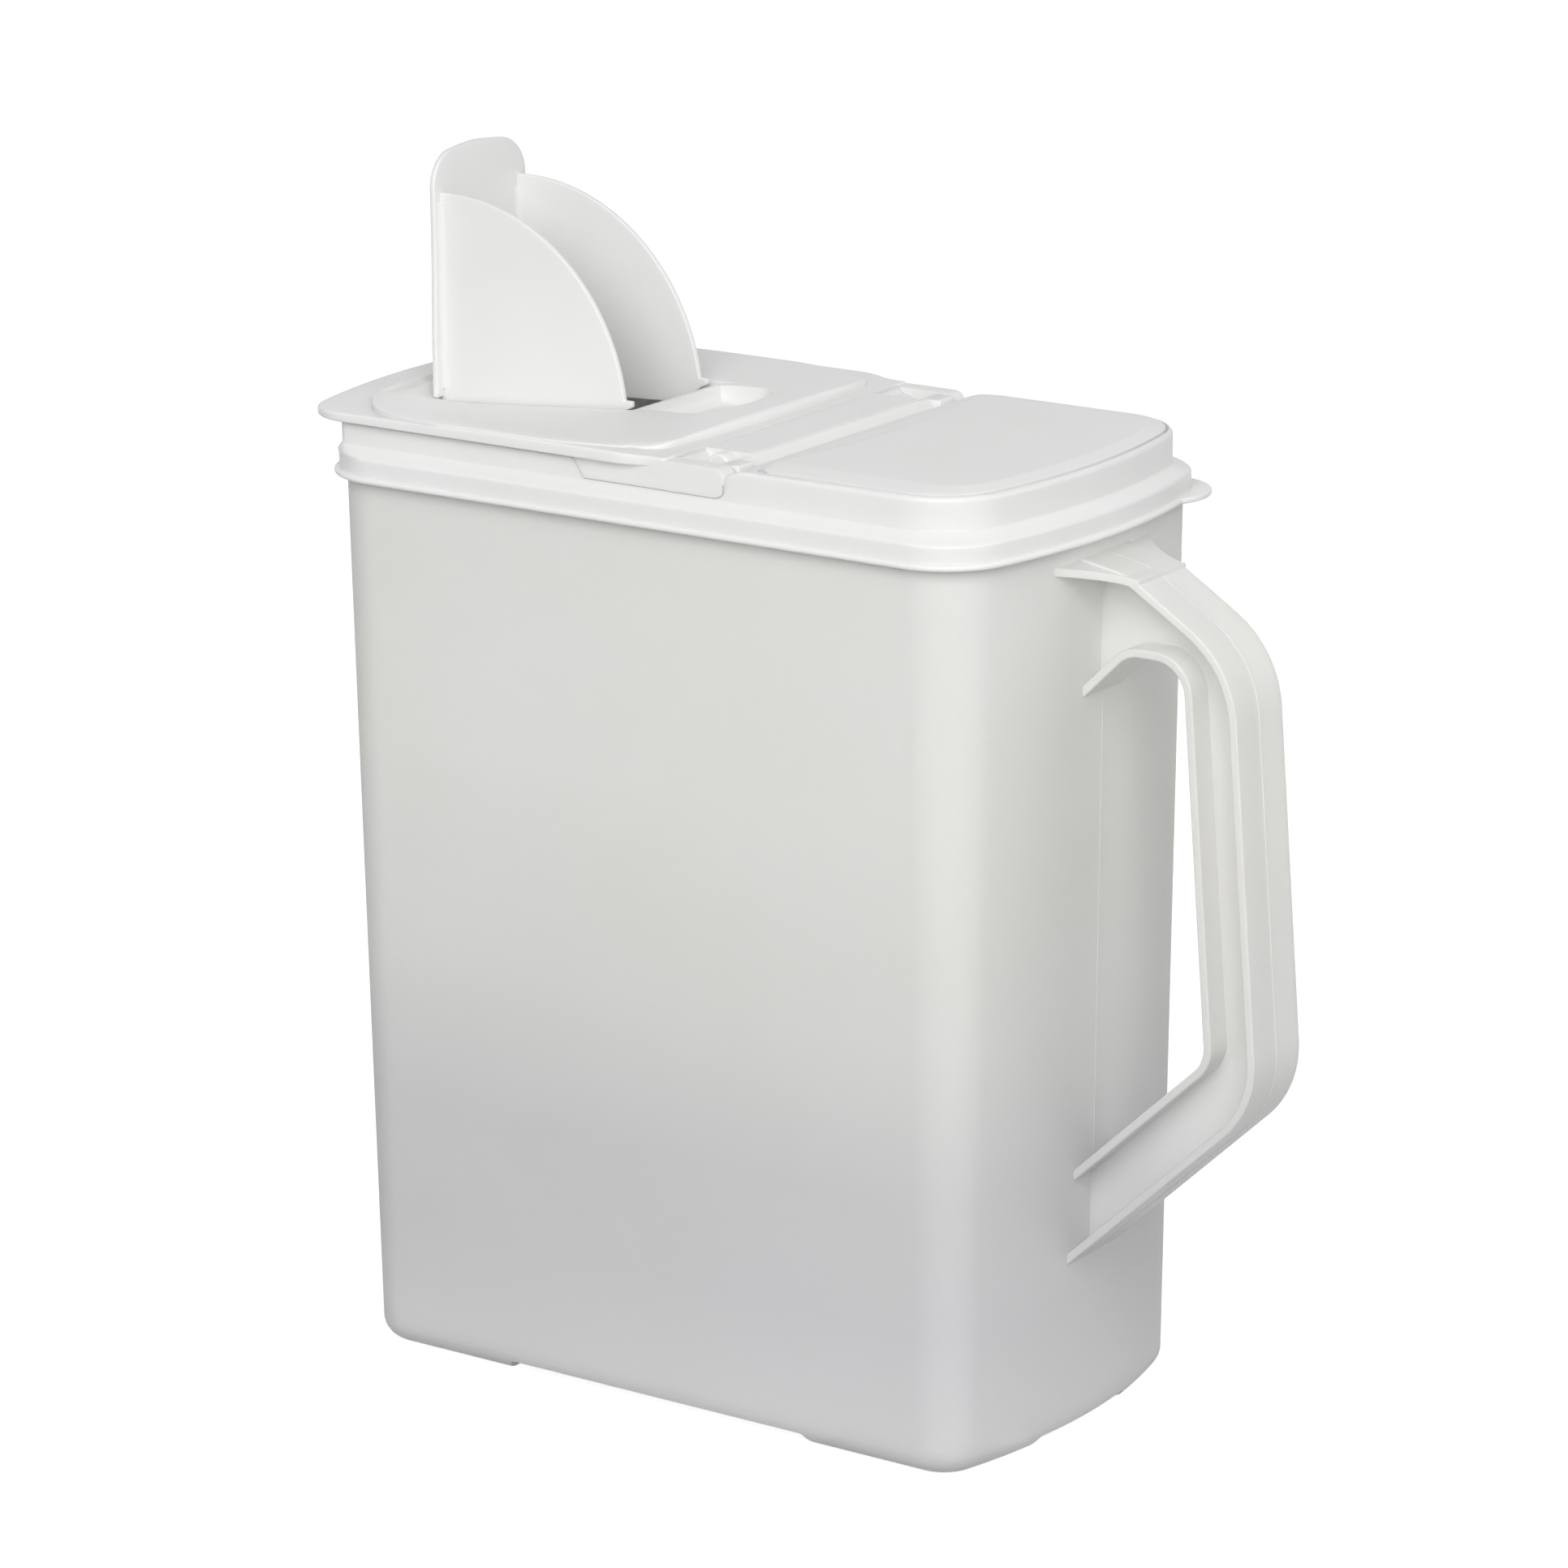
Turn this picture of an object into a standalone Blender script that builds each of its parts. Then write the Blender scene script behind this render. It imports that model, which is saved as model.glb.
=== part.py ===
"""Pet food bin: a tall translucent tub with a moulded-in handle, a press-on lid base,
a hinged flip lid over the left half, a flip-up pour spout in it and a mouth collar below.

Blender 4.5 script. Lengths are metres. X runs along the tub towards its handle, Y across
it and Z up. The design is drawn about the tub's own axis and then carried by one empty,
so that the origin is on the floor, under the middle of the whole object's length.
"""
import math

import bmesh
import bpy
from mathutils import Matrix, Vector

MM = 0.001

# ---------------------------------------------------------------- tub
RIM_Z = 275.4 * MM            # underside of the lid's flange
TOP_LENGTH = 241.8 * MM       # tub at RIM_Z, over the bowed ends
TOP_WIDTH = 129.6 * MM
TOP_CORNER = 19.2 * MM
BASE_LENGTH = 232.8 * MM      # tub at the floor, before the bottom rounding
BASE_WIDTH = 122.6 * MM
BASE_CORNER = 14.0 * MM
END_BOW = 10.0 * MM           # how far each end wall bulges
WALL = 1.6 * MM
FLOOR = 2.2 * MM
BOTTOM_ROUND = 7.0 * MM
FOOT_HEIGHT = 3.9 * MM
FOOT_GAP_LENGTH = 108.0 * MM  # clear between the feet along the tub
FOOT_GAP_WIDTH = 46.0 * MM
TUB_RIM_RISE = 5.9 * MM       # wall above the flange, inside the lid's channel
SNAP_BEAD = 0.35 * MM

# ---------------------------------------------------------------- handle
HANDLE_WIDTH = 26.0 * MM
HANDLE_INNER_WIDTH = 21.0 * MM
HANDLE_FLANGE = 2.6 * MM
HANDLE_WEB = 2.8 * MM
HANDLE_DEPTH = 18.5 * MM      # from the grip's outer face to its inner face
HANDLE_LOW_REACH = 64.66 * MM   # grip's outer face past the tub's base, at its low bend
HANDLE_HIGH_REACH = 50.65 * MM  # and past the tub's top, at its high bend
HANDLE_TOP = RIM_Z - 4.4 * MM         # outer face at the wall
HANDLE_SHOULDER = RIM_Z - 7.8 * MM    # outer face where it leaves the shelf
HANDLE_HIGH_BEND = 245.4 * MM
HANDLE_LOW_BEND = 115.1 * MM
HANDLE_FOOT = 52.0 * MM
INNER_TOP = 225.6 * MM        # inner face at the wall, then its bends and its foot
INNER_HIGH_BEND = 243.0 * MM
INNER_LOW_BEND = 125.6 * MM
INNER_FOOT = 80.6 * MM
HANDLE_SHELF = 30.0 * MM      # half width of the flared shelf at the wall
SHELF_LENGTH = 25.0 * MM
SHELF_SLOPE = 0.17

# ---------------------------------------------------------------- lid base
GAP = 0.3 * MM                # between touching pieces
LID_WALL = 1.7 * MM
CHANNEL_CLEAR = 0.65 * MM     # beside the tub's rim
FLANGE_OUT = 3.95 * MM
FLANGE_THICK = 1.8 * MM
TIER_OUT = 2.4 * MM           # lower tier outside the tub's wall
TIER_RISE = 7.2 * MM
LEDGE_RISE = 3.0 * MM
STEP_IN = 1.9 * MM            # upper tier inside the tub's wall
DECK_RISE = 16.3 * MM         # left deck above RIM_Z
DECK_THICK = 2.4 * MM
BLOCK_RISE = 19.9 * MM        # right half above RIM_Z
PAD_RISE = 1.4 * MM
PAD_SLOPE = 8.4 * MM          # width of the pad's sloped border
PAD_LEFT = 43.0 * MM          # pad's left corners, and its hollow in the middle
PAD_HOLLOW = 6.5 * MM
BLOCK_LEFT = 13.6 * MM
BAR_RIGHT = 33.0 * MM
BAR_HALF = 50.0 * MM
BAR_RISE = 21.6 * MM
TROUGH_DROP = 2.4 * MM
TAB_RADIUS = 16.6 * MM
TAB_X = TOP_LENGTH / 2 - 14.4 * MM
TAB_Y = TOP_WIDTH / 2 - 14.8 * MM
RING_WIDTH = 7.7 * MM         # deck left beside the mouth
END_RING = 3.2 * MM           # deck left at its end
MOUTH_CORNER = 11.0 * MM

# ---------------------------------------------------------------- hinge of the flip lid
HINGE_X = 27.5 * MM
LUG_RADIUS = 6.0 * MM
LUG_CLEAR = 1.1 * MM          # lug above the ledge
LUG_THICK = 2.2 * MM
LUG_START = -10.0 * MM
KNUCKLE_RADIUS = 4.1 * MM
KNUCKLE_LENGTH = 7.4 * MM
PIN_RADIUS = 2.0 * MM
PIN_SEAT = 5.0 * MM           # pin's length inside the bar
POCKET_REACH = 6.6 * MM       # pocket past the hinge axis
POCKET_DEPTH = 5.4 * MM       # below the hinge axis
SLOT_RADIUS = 5.6 * MM
STRIP_REACH = 1.0 * MM        # strip past the hinge axis

# ---------------------------------------------------------------- flip lid
FLIP_THICK = 3.3 * MM         # rim height
FLIP_SKIN = 1.8 * MM
LIP_OUT = 9.5 * MM            # finger lip past the tub's left end
FLIP_PAD_RISE = 1.5 * MM
FLIP_PAD_SLOPE = 5.0 * MM
FLIP_PAD_HALF = 58.4 * MM
FLIP_PAD_RIGHT = 4.0 * MM
FLIP_PAD_LEFT = 110.0 * MM
DISH_DEPTH = 5.2 * MM
DISH_RIGHT = -33.0 * MM
DISH_LEFT = -104.0 * MM
DISH_FLAT = 24.0 * MM
DISH_HALF = 42.0 * MM
SCOOP_END = -12.0 * MM
SCOOP_HALF = 21.5 * MM
SCOOP_DEPTH = 5.5 * MM

# ---------------------------------------------------------------- pour spout
SPOUT_HALF = 20.0 * MM        # outside of the cheeks
SPOUT_SKIN = 1.8 * MM
SPOUT_PLATE_HALF = 24.5 * MM
SPOUT_LENGTH = 76.5 * MM
SPOUT_RADIUS = 64.7 * MM
SPOUT_TAB_BEND = 2.6 * MM
SPOUT_FACE_X = -103.9 * MM    # inner face of the raised plate
TRUNNION_RADIUS = 1.4 * MM
TRUNNION_REACH = 3.6 * MM
TRUNNION_DROP = 2.5 * MM      # trunnion's axis below the dish floor
STOP_REACH = 2.2 * MM
STOP_HEIGHT = 1.8 * MM

# ---------------------------------------------------------------- mouth collar
COLLAR_SKIN = 1.3 * MM
COLLAR_DEPTH = 50.0 * MM
COLLAR_LIP = 1.2 * MM
COLLAR_LIP_THICK = 1.2 * MM
COLLAR_CUT_X = -30.0 * MM     # where the collar's bottom edge turns up

# ---------------------------------------------------------------- derived places
FLANGE_TOP = RIM_Z + FLANGE_THICK
TIER_TOP = RIM_Z + TIER_RISE
LEDGE_TOP = TIER_TOP + LEDGE_RISE
DECK_TOP = RIM_Z + DECK_RISE
DECK_UNDER = DECK_TOP - DECK_THICK
BLOCK_TOP = RIM_Z + BLOCK_RISE
PAD_TOP = BLOCK_TOP + PAD_RISE
BAR_TOP = RIM_Z + BAR_RISE
RIM_TOP = RIM_Z + TUB_RIM_RISE
HINGE_Z = LEDGE_TOP + LUG_CLEAR + LUG_RADIUS
FLIP_UNDER = DECK_TOP + GAP
FLIP_TOP = FLIP_UNDER + FLIP_THICK
FLIP_PAD_TOP = FLIP_TOP + FLIP_PAD_RISE
LUG_INNER = TOP_WIDTH / 2 - STEP_IN + 0.5 * MM
LUG_OUTER = LUG_INNER + LUG_THICK
DISH_FLOOR = FLIP_PAD_TOP - DISH_DEPTH
TRUNNION_Z = DISH_FLOOR - TRUNNION_DROP + 0.3 * MM
TRUNNION_X = SPOUT_FACE_X + (DISH_FLOOR + GAP - TRUNNION_Z)
COLLAR_TOP = DECK_TOP

ARC_STEPS = 7
BOW_STEPS = 10


def clear_scene():
    """Remove whatever objects the file starts with."""
    for obj in list(bpy.data.objects):
        bpy.data.objects.remove(obj, do_unlink=True)


clear_scene()
PARTS = bpy.data.collections.new("pet_food_bin")
CUTTERS = bpy.data.collections.new("cutters")
for collection in (PARTS, CUTTERS):
    bpy.context.scene.collection.children.link(collection)

ORIGIN = bpy.data.objects.new("origin", None)
PARTS.objects.link(ORIGIN)


# ---------------------------------------------------------------- materials
def material(name, colour, roughness, alpha=1.0):
    mat = bpy.data.materials.new(name)
    mat.use_nodes = True
    shader = mat.node_tree.nodes["Principled BSDF"]
    shader.inputs["Base Color"].default_value = (*colour, 1.0)
    shader.inputs["Roughness"].default_value = roughness
    shader.inputs["Metallic"].default_value = 0.0
    shader.inputs["Alpha"].default_value = alpha
    return mat


CLEAR_PLASTIC = material("natural_polypropylene", (0.80, 0.79, 0.76), 0.35, 0.55)
WHITE_PLASTIC = material("white_polypropylene", (0.88, 0.88, 0.87), 0.38)


# ---------------------------------------------------------------- outlines
def arc(centre, radius, start, end, steps):
    """Points of an arc, ends included; angles in radians."""
    return [(centre[0] + radius * math.cos(start + (end - start) * i / steps),
             centre[1] + radius * math.sin(start + (end - start) * i / steps))
            for i in range(steps + 1)]


def bowed_end(half_length, half_width, bow, corner, offset=0.0):
    """The +X half of the tub's plan: corner, bowed end, corner, counterclockwise."""
    bow_radius = (half_width ** 2 + bow ** 2) / (2 * bow)
    bow_x = half_length - bow_radius
    corner_y = half_width - corner
    corner_x = bow_x + math.sqrt((bow_radius - corner) ** 2 - corner_y ** 2)
    turn = math.atan2(corner_y, corner_x - bow_x)
    points = arc((corner_x, -corner_y), corner + offset, -math.pi / 2, -turn, ARC_STEPS)
    points += arc((bow_x, 0.0), bow_radius + offset, -turn, turn, BOW_STEPS)[1:-1]
    points += arc((corner_x, corner_y), corner + offset, turn, math.pi / 2, ARC_STEPS)
    return points


def plan(half_length, half_width, bow, corner, offset=0.0):
    half = bowed_end(half_length, half_width, bow, corner, offset)
    return half + [(-x, -y) for x, y in half]


def tub_plan(z, offset=0.0):
    """The tub's outer outline at height z, moved outwards by offset."""
    share = z / RIM_Z
    length = BASE_LENGTH + (TOP_LENGTH - BASE_LENGTH) * share
    width = BASE_WIDTH + (TOP_WIDTH - BASE_WIDTH) * share
    corner = BASE_CORNER + (TOP_CORNER - BASE_CORNER) * share
    return plan(length / 2, width / 2, END_BOW, corner, offset)


def lid_plan(offset):
    """The lid's outlines all follow the tub at its rim."""
    return tub_plan(RIM_Z, offset)


def left_part(points, limit):
    """The stretch of a closed outline with x below the limit, closed by a straight edge."""
    kept = []
    count = len(points)
    for i, point in enumerate(points):
        after = points[(i + 1) % count]
        if point[0] <= limit:
            kept.append(point)
        if (point[0] <= limit) != (after[0] <= limit):
            share = (limit - point[0]) / (after[0] - point[0])
            kept.append((limit, point[1] + (after[1] - point[1]) * share))
    return kept


def right_part(points, limit):
    mirrored = left_part([(-x, y) for x, y in points], -limit)
    return [(-x, y) for x, y in reversed(mirrored)]


def round_corners(corners, steps=ARC_STEPS, closed=True):
    """Corners (x, y, radius) joined by arcs. Radius 0 keeps the corner sharp."""
    points = []
    count = len(corners)
    for i, (x, y, radius) in enumerate(corners):
        here = Vector((x, y))
        if radius == 0 or (not closed and i in (0, count - 1)):
            points.append((x, y))
            continue
        before = (Vector(corners[i - 1][:2]) - here).normalized()
        after = (Vector(corners[(i + 1) % count][:2]) - here).normalized()
        half = before.angle(after) / 2
        reach = radius / math.tan(half)
        centre = here + (before + after).normalized() * (radius / math.sin(half))
        start = here + before * reach - centre
        swing = start.angle_signed(here + after * reach - centre)
        for step in range(steps + 1):
            turned = Matrix.Rotation(-swing * step / steps, 2) @ start
            points.append(tuple(centre + turned))
    return points


# ---------------------------------------------------------------- solids
def new_object(name, mesh, collection=CUTTERS):
    obj = bpy.data.objects.new(name, mesh)
    collection.objects.link(obj)
    if collection is CUTTERS:
        obj.hide_render = True
        obj.display_type = "WIRE"
    return obj


def mesh_from_bmesh(name, bm):
    bmesh.ops.recalc_face_normals(bm, faces=bm.faces)
    mesh = bpy.data.meshes.new(name)
    bm.to_mesh(mesh)
    bm.free()
    return mesh


def loft(name, rings):
    """A closed solid through rings of equally many points (x, y, z), capped at both ends."""
    bm = bmesh.new()
    loops = [[bm.verts.new(point) for point in ring] for ring in rings]
    count = len(rings[0])
    for low, high in zip(loops, loops[1:]):
        for i in range(count):
            after = (i + 1) % count
            bm.faces.new((low[i], low[after], high[after], high[i]))
    bm.faces.new(list(reversed(loops[0])))
    bm.faces.new(loops[-1])
    return new_object(name, mesh_from_bmesh(name, bm))


def level(points, z):
    return [(x, y, z) for x, y in points]


def prism(name, points, low, high):
    """A flat outline raised from z = low to z = high."""
    return loft(name, [level(points, low), level(points, high)])


def side_prism(name, points, low, high):
    """An outline of (x, z) points carried from y = low to y = high."""
    return loft(name, [[(x, y, z) for x, z in points] for y in (low, high)])


def box(name, x, y, z):
    return prism(name, [(x[0], y[0]), (x[1], y[0]), (x[1], y[1]), (x[0], y[1])], *z)


def rod(name, radius, x, z, y, segments=28):
    """A cylinder along Y."""
    bm = bmesh.new()
    bmesh.ops.create_cone(bm, cap_ends=True, segments=segments, radius1=radius,
                          radius2=radius, depth=abs(y[1] - y[0]))
    place = Matrix.Translation((x, (y[0] + y[1]) / 2, z)) @ Matrix.Rotation(math.pi / 2, 4, "X")
    bm.transform(place)
    return new_object(name, mesh_from_bmesh(name, bm))


def height_solid(name, xs, ys, low, high):
    """A solid over a grid between two surfaces z = low(x, y) and z = high(x, y)."""
    bm = bmesh.new()
    sheets = [[[bm.verts.new((x, y, surface(x, y))) for y in ys] for x in xs]
              for surface in (low, high)]
    for i in range(len(xs) - 1):
        for j in range(len(ys) - 1):
            for sheet in sheets:
                bm.faces.new((sheet[i][j], sheet[i + 1][j], sheet[i + 1][j + 1], sheet[i][j + 1]))
    edge = [(i, 0) for i in range(len(xs))]
    edge += [(len(xs) - 1, j) for j in range(1, len(ys))]
    edge += [(i, len(ys) - 1) for i in range(len(xs) - 2, -1, -1)]
    edge += [(0, j) for j in range(len(ys) - 2, 0, -1)]
    for (i, j), (k, m) in zip(edge, edge[1:] + edge[:1]):
        bm.faces.new((sheets[0][i][j], sheets[0][k][m], sheets[1][k][m], sheets[1][i][j]))
    bmesh.ops.triangulate(bm, faces=bm.faces)
    return new_object(name, mesh_from_bmesh(name, bm))


def combine(target, operation, *tools):
    """Apply exact Booleans to the target, one tool at a time."""
    for tool in tools:
        modifier = target.modifiers.new(operation.lower(), "BOOLEAN")
        modifier.operation = operation
        modifier.solver = "EXACT"
        modifier.object = tool
        bpy.context.view_layer.update()
        graph = bpy.context.evaluated_depsgraph_get()
        result = bpy.data.meshes.new_from_object(target.evaluated_get(graph))
        target.modifiers.clear()
        target.data = result
    return target


def add(target, *tools):
    return combine(target, "UNION", *tools)


def cut(target, *tools):
    return combine(target, "DIFFERENCE", *tools)


def both_sides(make):
    """Call make(side) for the near side (-1) and the far side (+1)."""
    return [make(side) for side in (-1, 1)]


def finish_part(obj, name, mat, pivot=(0.0, 0.0, 0.0), parent=None):
    """Name a finished solid, shade it, and put its origin on its joint's axis."""
    obj.name = name
    obj.data.name = name
    CUTTERS.objects.unlink(obj)
    PARTS.objects.link(obj)
    obj.hide_render = False
    obj.display_type = "TEXTURED"
    bm = bmesh.new()
    bm.from_mesh(obj.data)
    bmesh.ops.remove_doubles(bm, verts=bm.verts, dist=0.00001)
    bmesh.ops.dissolve_degenerate(bm, edges=bm.edges, dist=0.00001)
    bm.transform(Matrix.Translation(-Vector(pivot)))
    bm.to_mesh(obj.data)
    bm.free()
    obj.data.materials.clear()
    obj.data.materials.append(mat)
    obj.data.shade_smooth()
    obj.data.set_sharp_from_angle(angle=math.radians(32))
    obj.parent = parent or ORIGIN
    inherited = Vector(parent.location) if parent else Vector()
    obj.location = Vector(pivot) - inherited
    return obj


# ---------------------------------------------------------------- tub and handle
def bottom_inset(z):
    """How far the rounded bottom edge has come in at height z."""
    if z >= BOTTOM_ROUND:
        return 0.0
    return BOTTOM_ROUND - math.sqrt(BOTTOM_ROUND ** 2 - (BOTTOM_ROUND - z) ** 2)


def tub_shell():
    heights = [BOTTOM_ROUND * (1 - math.cos(math.pi / 2 * i / 6)) for i in range(7)]
    heights += [RIM_Z]
    rings = [level(tub_plan(z, -min(bottom_inset(z), BASE_CORNER - 0.5 * MM)), z) for z in heights]
    bead_z = RIM_Z + 2.6 * MM
    rings.append(level(tub_plan(bead_z), bead_z))
    rings.append(level(tub_plan(bead_z, SNAP_BEAD), bead_z + 0.6 * MM))
    rings.append(level(tub_plan(bead_z, SNAP_BEAD), bead_z + 1.4 * MM))
    rings.append(level(tub_plan(bead_z), bead_z + 2.0 * MM))
    rings.append(level(tub_plan(RIM_TOP), RIM_TOP))
    rings.append(level(tub_plan(RIM_TOP, -WALL), RIM_TOP))
    inner_floor = FOOT_HEIGHT + FLOOR
    inner_round = BOTTOM_ROUND - WALL
    for i in range(6, -1, -1):
        rise = inner_round * (1 - math.cos(math.pi / 2 * i / 6))
        inset = inner_round - math.sqrt(inner_round ** 2 - (inner_round - rise) ** 2)
        z = inner_floor + rise
        rings.append(level(tub_plan(z, -WALL - min(inset, BASE_CORNER - WALL - 1.0 * MM)), z))
    return loft("tub", rings)


def foot_gaps():
    """Two crossing channels that leave a foot at each corner."""
    reach = BASE_LENGTH
    slope = FOOT_HEIGHT * 0.6
    across = [(-FOOT_GAP_LENGTH / 2 - slope, -1.0 * MM), (FOOT_GAP_LENGTH / 2 + slope, -1.0 * MM),
              (FOOT_GAP_LENGTH / 2, FOOT_HEIGHT), (-FOOT_GAP_LENGTH / 2, FOOT_HEIGHT)]
    along = [(-FOOT_GAP_WIDTH / 2 - slope, -1.0 * MM), (FOOT_GAP_WIDTH / 2 + slope, -1.0 * MM),
             (FOOT_GAP_WIDTH / 2, FOOT_HEIGHT), (-FOOT_GAP_WIDTH / 2, FOOT_HEIGHT)]
    first = side_prism("gap_across", across, -reach, reach)
    second = loft("gap_along", [[(x, y, z) for y, z in along] for x in (-reach, reach)])
    return first, second


def grip_line(z):
    """X of the grip's outer face: it leans outwards towards the bottom."""
    low_x = BASE_LENGTH / 2 + HANDLE_LOW_REACH
    high_x = TOP_LENGTH / 2 + HANDLE_HIGH_REACH
    share = (z - HANDLE_LOW_BEND) / (HANDLE_HIGH_BEND - HANDLE_LOW_BEND)
    return low_x + (high_x - low_x) * share


def thickened(line, thickness):
    """A ribbon: an open (x, z) line and the same line moved to its left by the thickness."""
    moved = []
    for i, point in enumerate(line):
        before = Vector(line[max(i - 1, 0)])
        after = Vector(line[min(i + 1, len(line) - 1)])
        along = (after - before).normalized()
        moved.append((point[0] - along.y * thickness, point[1] + along.x * thickness))
    return line + moved[::-1]


def handle_lines():
    """Outer face of the outer flange and inner face of the inner flange, top to bottom."""
    wall_top = TOP_LENGTH / 2 - 4.0 * MM
    wall_low = BASE_LENGTH / 2 - 3.0 * MM
    outer = [(wall_top, HANDLE_TOP, 0),
             (wall_top + 19.0 * MM, HANDLE_SHOULDER, 24.0 * MM),
             (grip_line(HANDLE_HIGH_BEND), HANDLE_HIGH_BEND, 33.0 * MM),
             (grip_line(HANDLE_LOW_BEND), HANDLE_LOW_BEND, 31.0 * MM),
             (wall_low, HANDLE_FOOT, 0)]
    inner = [(wall_top, INNER_TOP, 0),
             (wall_top + 17.6 * MM, INNER_HIGH_BEND - 0.1 * MM, 9.0 * MM),
             (grip_line(INNER_HIGH_BEND) - HANDLE_DEPTH, INNER_HIGH_BEND, 10.0 * MM),
             (grip_line(INNER_LOW_BEND) - HANDLE_DEPTH, INNER_LOW_BEND, 10.0 * MM),
             (wall_low, INNER_FOOT, 0)]
    return (round_corners(outer, closed=False), round_corners(inner, closed=False))


def handle_solids():
    outer, inner = handle_lines()
    half = HANDLE_WIDTH / 2
    inner_half = HANDLE_INNER_WIDTH / 2
    outer_flange = side_prism("outer_flange", thickened(outer, -HANDLE_FLANGE), -half, half)
    inner_flange = side_prism("inner_flange", thickened(inner, HANDLE_FLANGE),
                              -inner_half, inner_half)
    web_outer = thickened(outer, -HANDLE_FLANGE / 2)[len(outer):]
    web_inner = thickened(inner, HANDLE_FLANGE / 2)[len(inner):]
    web = side_prism("web", web_outer + web_inner[::-1], -HANDLE_WEB / 2, HANDLE_WEB / 2)
    return outer_flange, inner_flange, web, handle_shelf()


def handle_shelf():
    """The outer flange flares into a shelf where it meets the wall."""
    wall_x = TOP_LENGTH / 2 - 6.0 * MM
    root_x = wall_x + SHELF_LENGTH
    half = HANDLE_WIDTH / 2
    side = []
    for i in range(7):
        share = i / 6
        spread = (HANDLE_SHELF - half) * (1 - math.sin(math.pi / 2 * share))
        side.append((wall_x + (root_x - wall_x) * share, half + spread))
    points = [(x, -y) for x, y in side] + side[::-1]
    rings = []
    for drop in (HANDLE_FLANGE, 0.0):
        height = HANDLE_TOP - 0.3 * MM - drop
        rings.append([(x, y, height - (x - wall_x) * SHELF_SLOPE) for x, y in points])
    return loft("shelf", rings)


def tub_inside():
    """Fills the tub to the middle of its wall and trims the handle's roots there."""
    rings = [level(tub_plan(z, -WALL / 2), z) for z in (40.0 * MM, RIM_Z)]
    return loft("tub_inside", rings)


def make_tub():
    handle, *rest = handle_solids()
    add(handle, *rest)
    cut(handle, tub_inside())
    tub = tub_shell()
    cut(tub, *foot_gaps())
    add(tub, handle)
    return finish_part(tub, "bin_body", CLEAR_PLASTIC)


# ---------------------------------------------------------------- lid base
def tier_solid():
    """Flange, lower tier, rounded ledge and upper tier up to the left deck."""
    profile = [(RIM_Z, FLANGE_OUT - 0.5 * MM), (RIM_Z + 0.6 * MM, FLANGE_OUT),
               (FLANGE_TOP - 0.6 * MM, FLANGE_OUT), (FLANGE_TOP, FLANGE_OUT - 0.5 * MM),
               (FLANGE_TOP + 0.2 * MM, TIER_OUT), (TIER_TOP - 1.4 * MM, TIER_OUT),
               (TIER_TOP - 0.4 * MM, TIER_OUT - 0.35 * MM), (TIER_TOP, TIER_OUT - 1.3 * MM),
               (LEDGE_TOP - 1.7 * MM, -STEP_IN + 1.7 * MM), (LEDGE_TOP - 0.6 * MM, -STEP_IN + 0.4 * MM),
               (LEDGE_TOP + 0.6 * MM, -STEP_IN), (DECK_TOP, -STEP_IN)]
    return loft("tiers", [level(lid_plan(offset), z) for z, offset in profile])


def block_solid(offset, left, bottom, top, rounding):
    """The right half of the upper tier, from x = left to the bowed end."""
    profile = [(bottom, offset), (top - rounding, offset), (top - 0.3 * rounding, offset - 0.3 * rounding),
               (top, offset - rounding)]
    return loft("block", [level(right_part(lid_plan(inset), left), z) for z, inset in profile])


def pad_plan(inset, left_inset):
    """The fixed pad: bowed at the handle end, hollowed towards the hinge bar."""
    right = bowed_end(TOP_LENGTH / 2, TOP_WIDTH / 2, END_BOW, TOP_CORNER, -inset)
    half = TOP_WIDTH / 2 - inset
    left = PAD_LEFT + left_inset
    corner = 4.0 * MM
    hollow = []
    for i in range(BOW_STEPS + 1):
        y = (half - corner) * (1 - 2 * i / BOW_STEPS)
        dip = PAD_HOLLOW * (1 - (y / half) ** 2)
        hollow.append((left + dip, y))
    return right + arc((left + corner, half - corner), corner, math.pi / 2, math.pi, 4)[:-1] \
        + hollow + arc((left + corner, -half + corner), corner, math.pi, 1.5 * math.pi, 4)[1:]


def fixed_pad():
    crease = STEP_IN + 1.2 * MM
    inset = crease + PAD_SLOPE
    low = pad_plan(crease, -0.6 * MM)
    high = pad_plan(inset, 0.8 * MM)
    middle = [((a[0] + b[0]) / 2, (a[1] + b[1]) / 2) for a, b in zip(low, high)]
    rings = [level(low, BLOCK_TOP - TROUGH_DROP), level(low, BLOCK_TOP + 0.2 * MM),
             level(middle, BLOCK_TOP + 0.65 * PAD_RISE), level(high, PAD_TOP)]
    return loft("fixed_pad", rings)


def deck_opening(inset):
    """The mouth in the left deck: follows the tub's end, square across at the hinge side."""
    right = BLOCK_LEFT - 8.0 * MM - inset
    full = TOP_WIDTH / 2 - STEP_IN - RING_WIDTH
    half = full - inset
    corner = 7.0 * MM
    bow = END_BOW * (2 * full / TOP_WIDTH) ** 2
    end = bowed_end(TOP_LENGTH / 2 - STEP_IN - END_RING, full, bow, MOUTH_CORNER, -inset)
    right_half = arc((right - corner, -half + corner), corner, -math.pi / 2, 0.0, ARC_STEPS)
    right_half += arc((right - corner, half - corner), corner, 0.0, math.pi / 2, ARC_STEPS)
    return [(-x, -y) for x, y in end] + right_half


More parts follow.
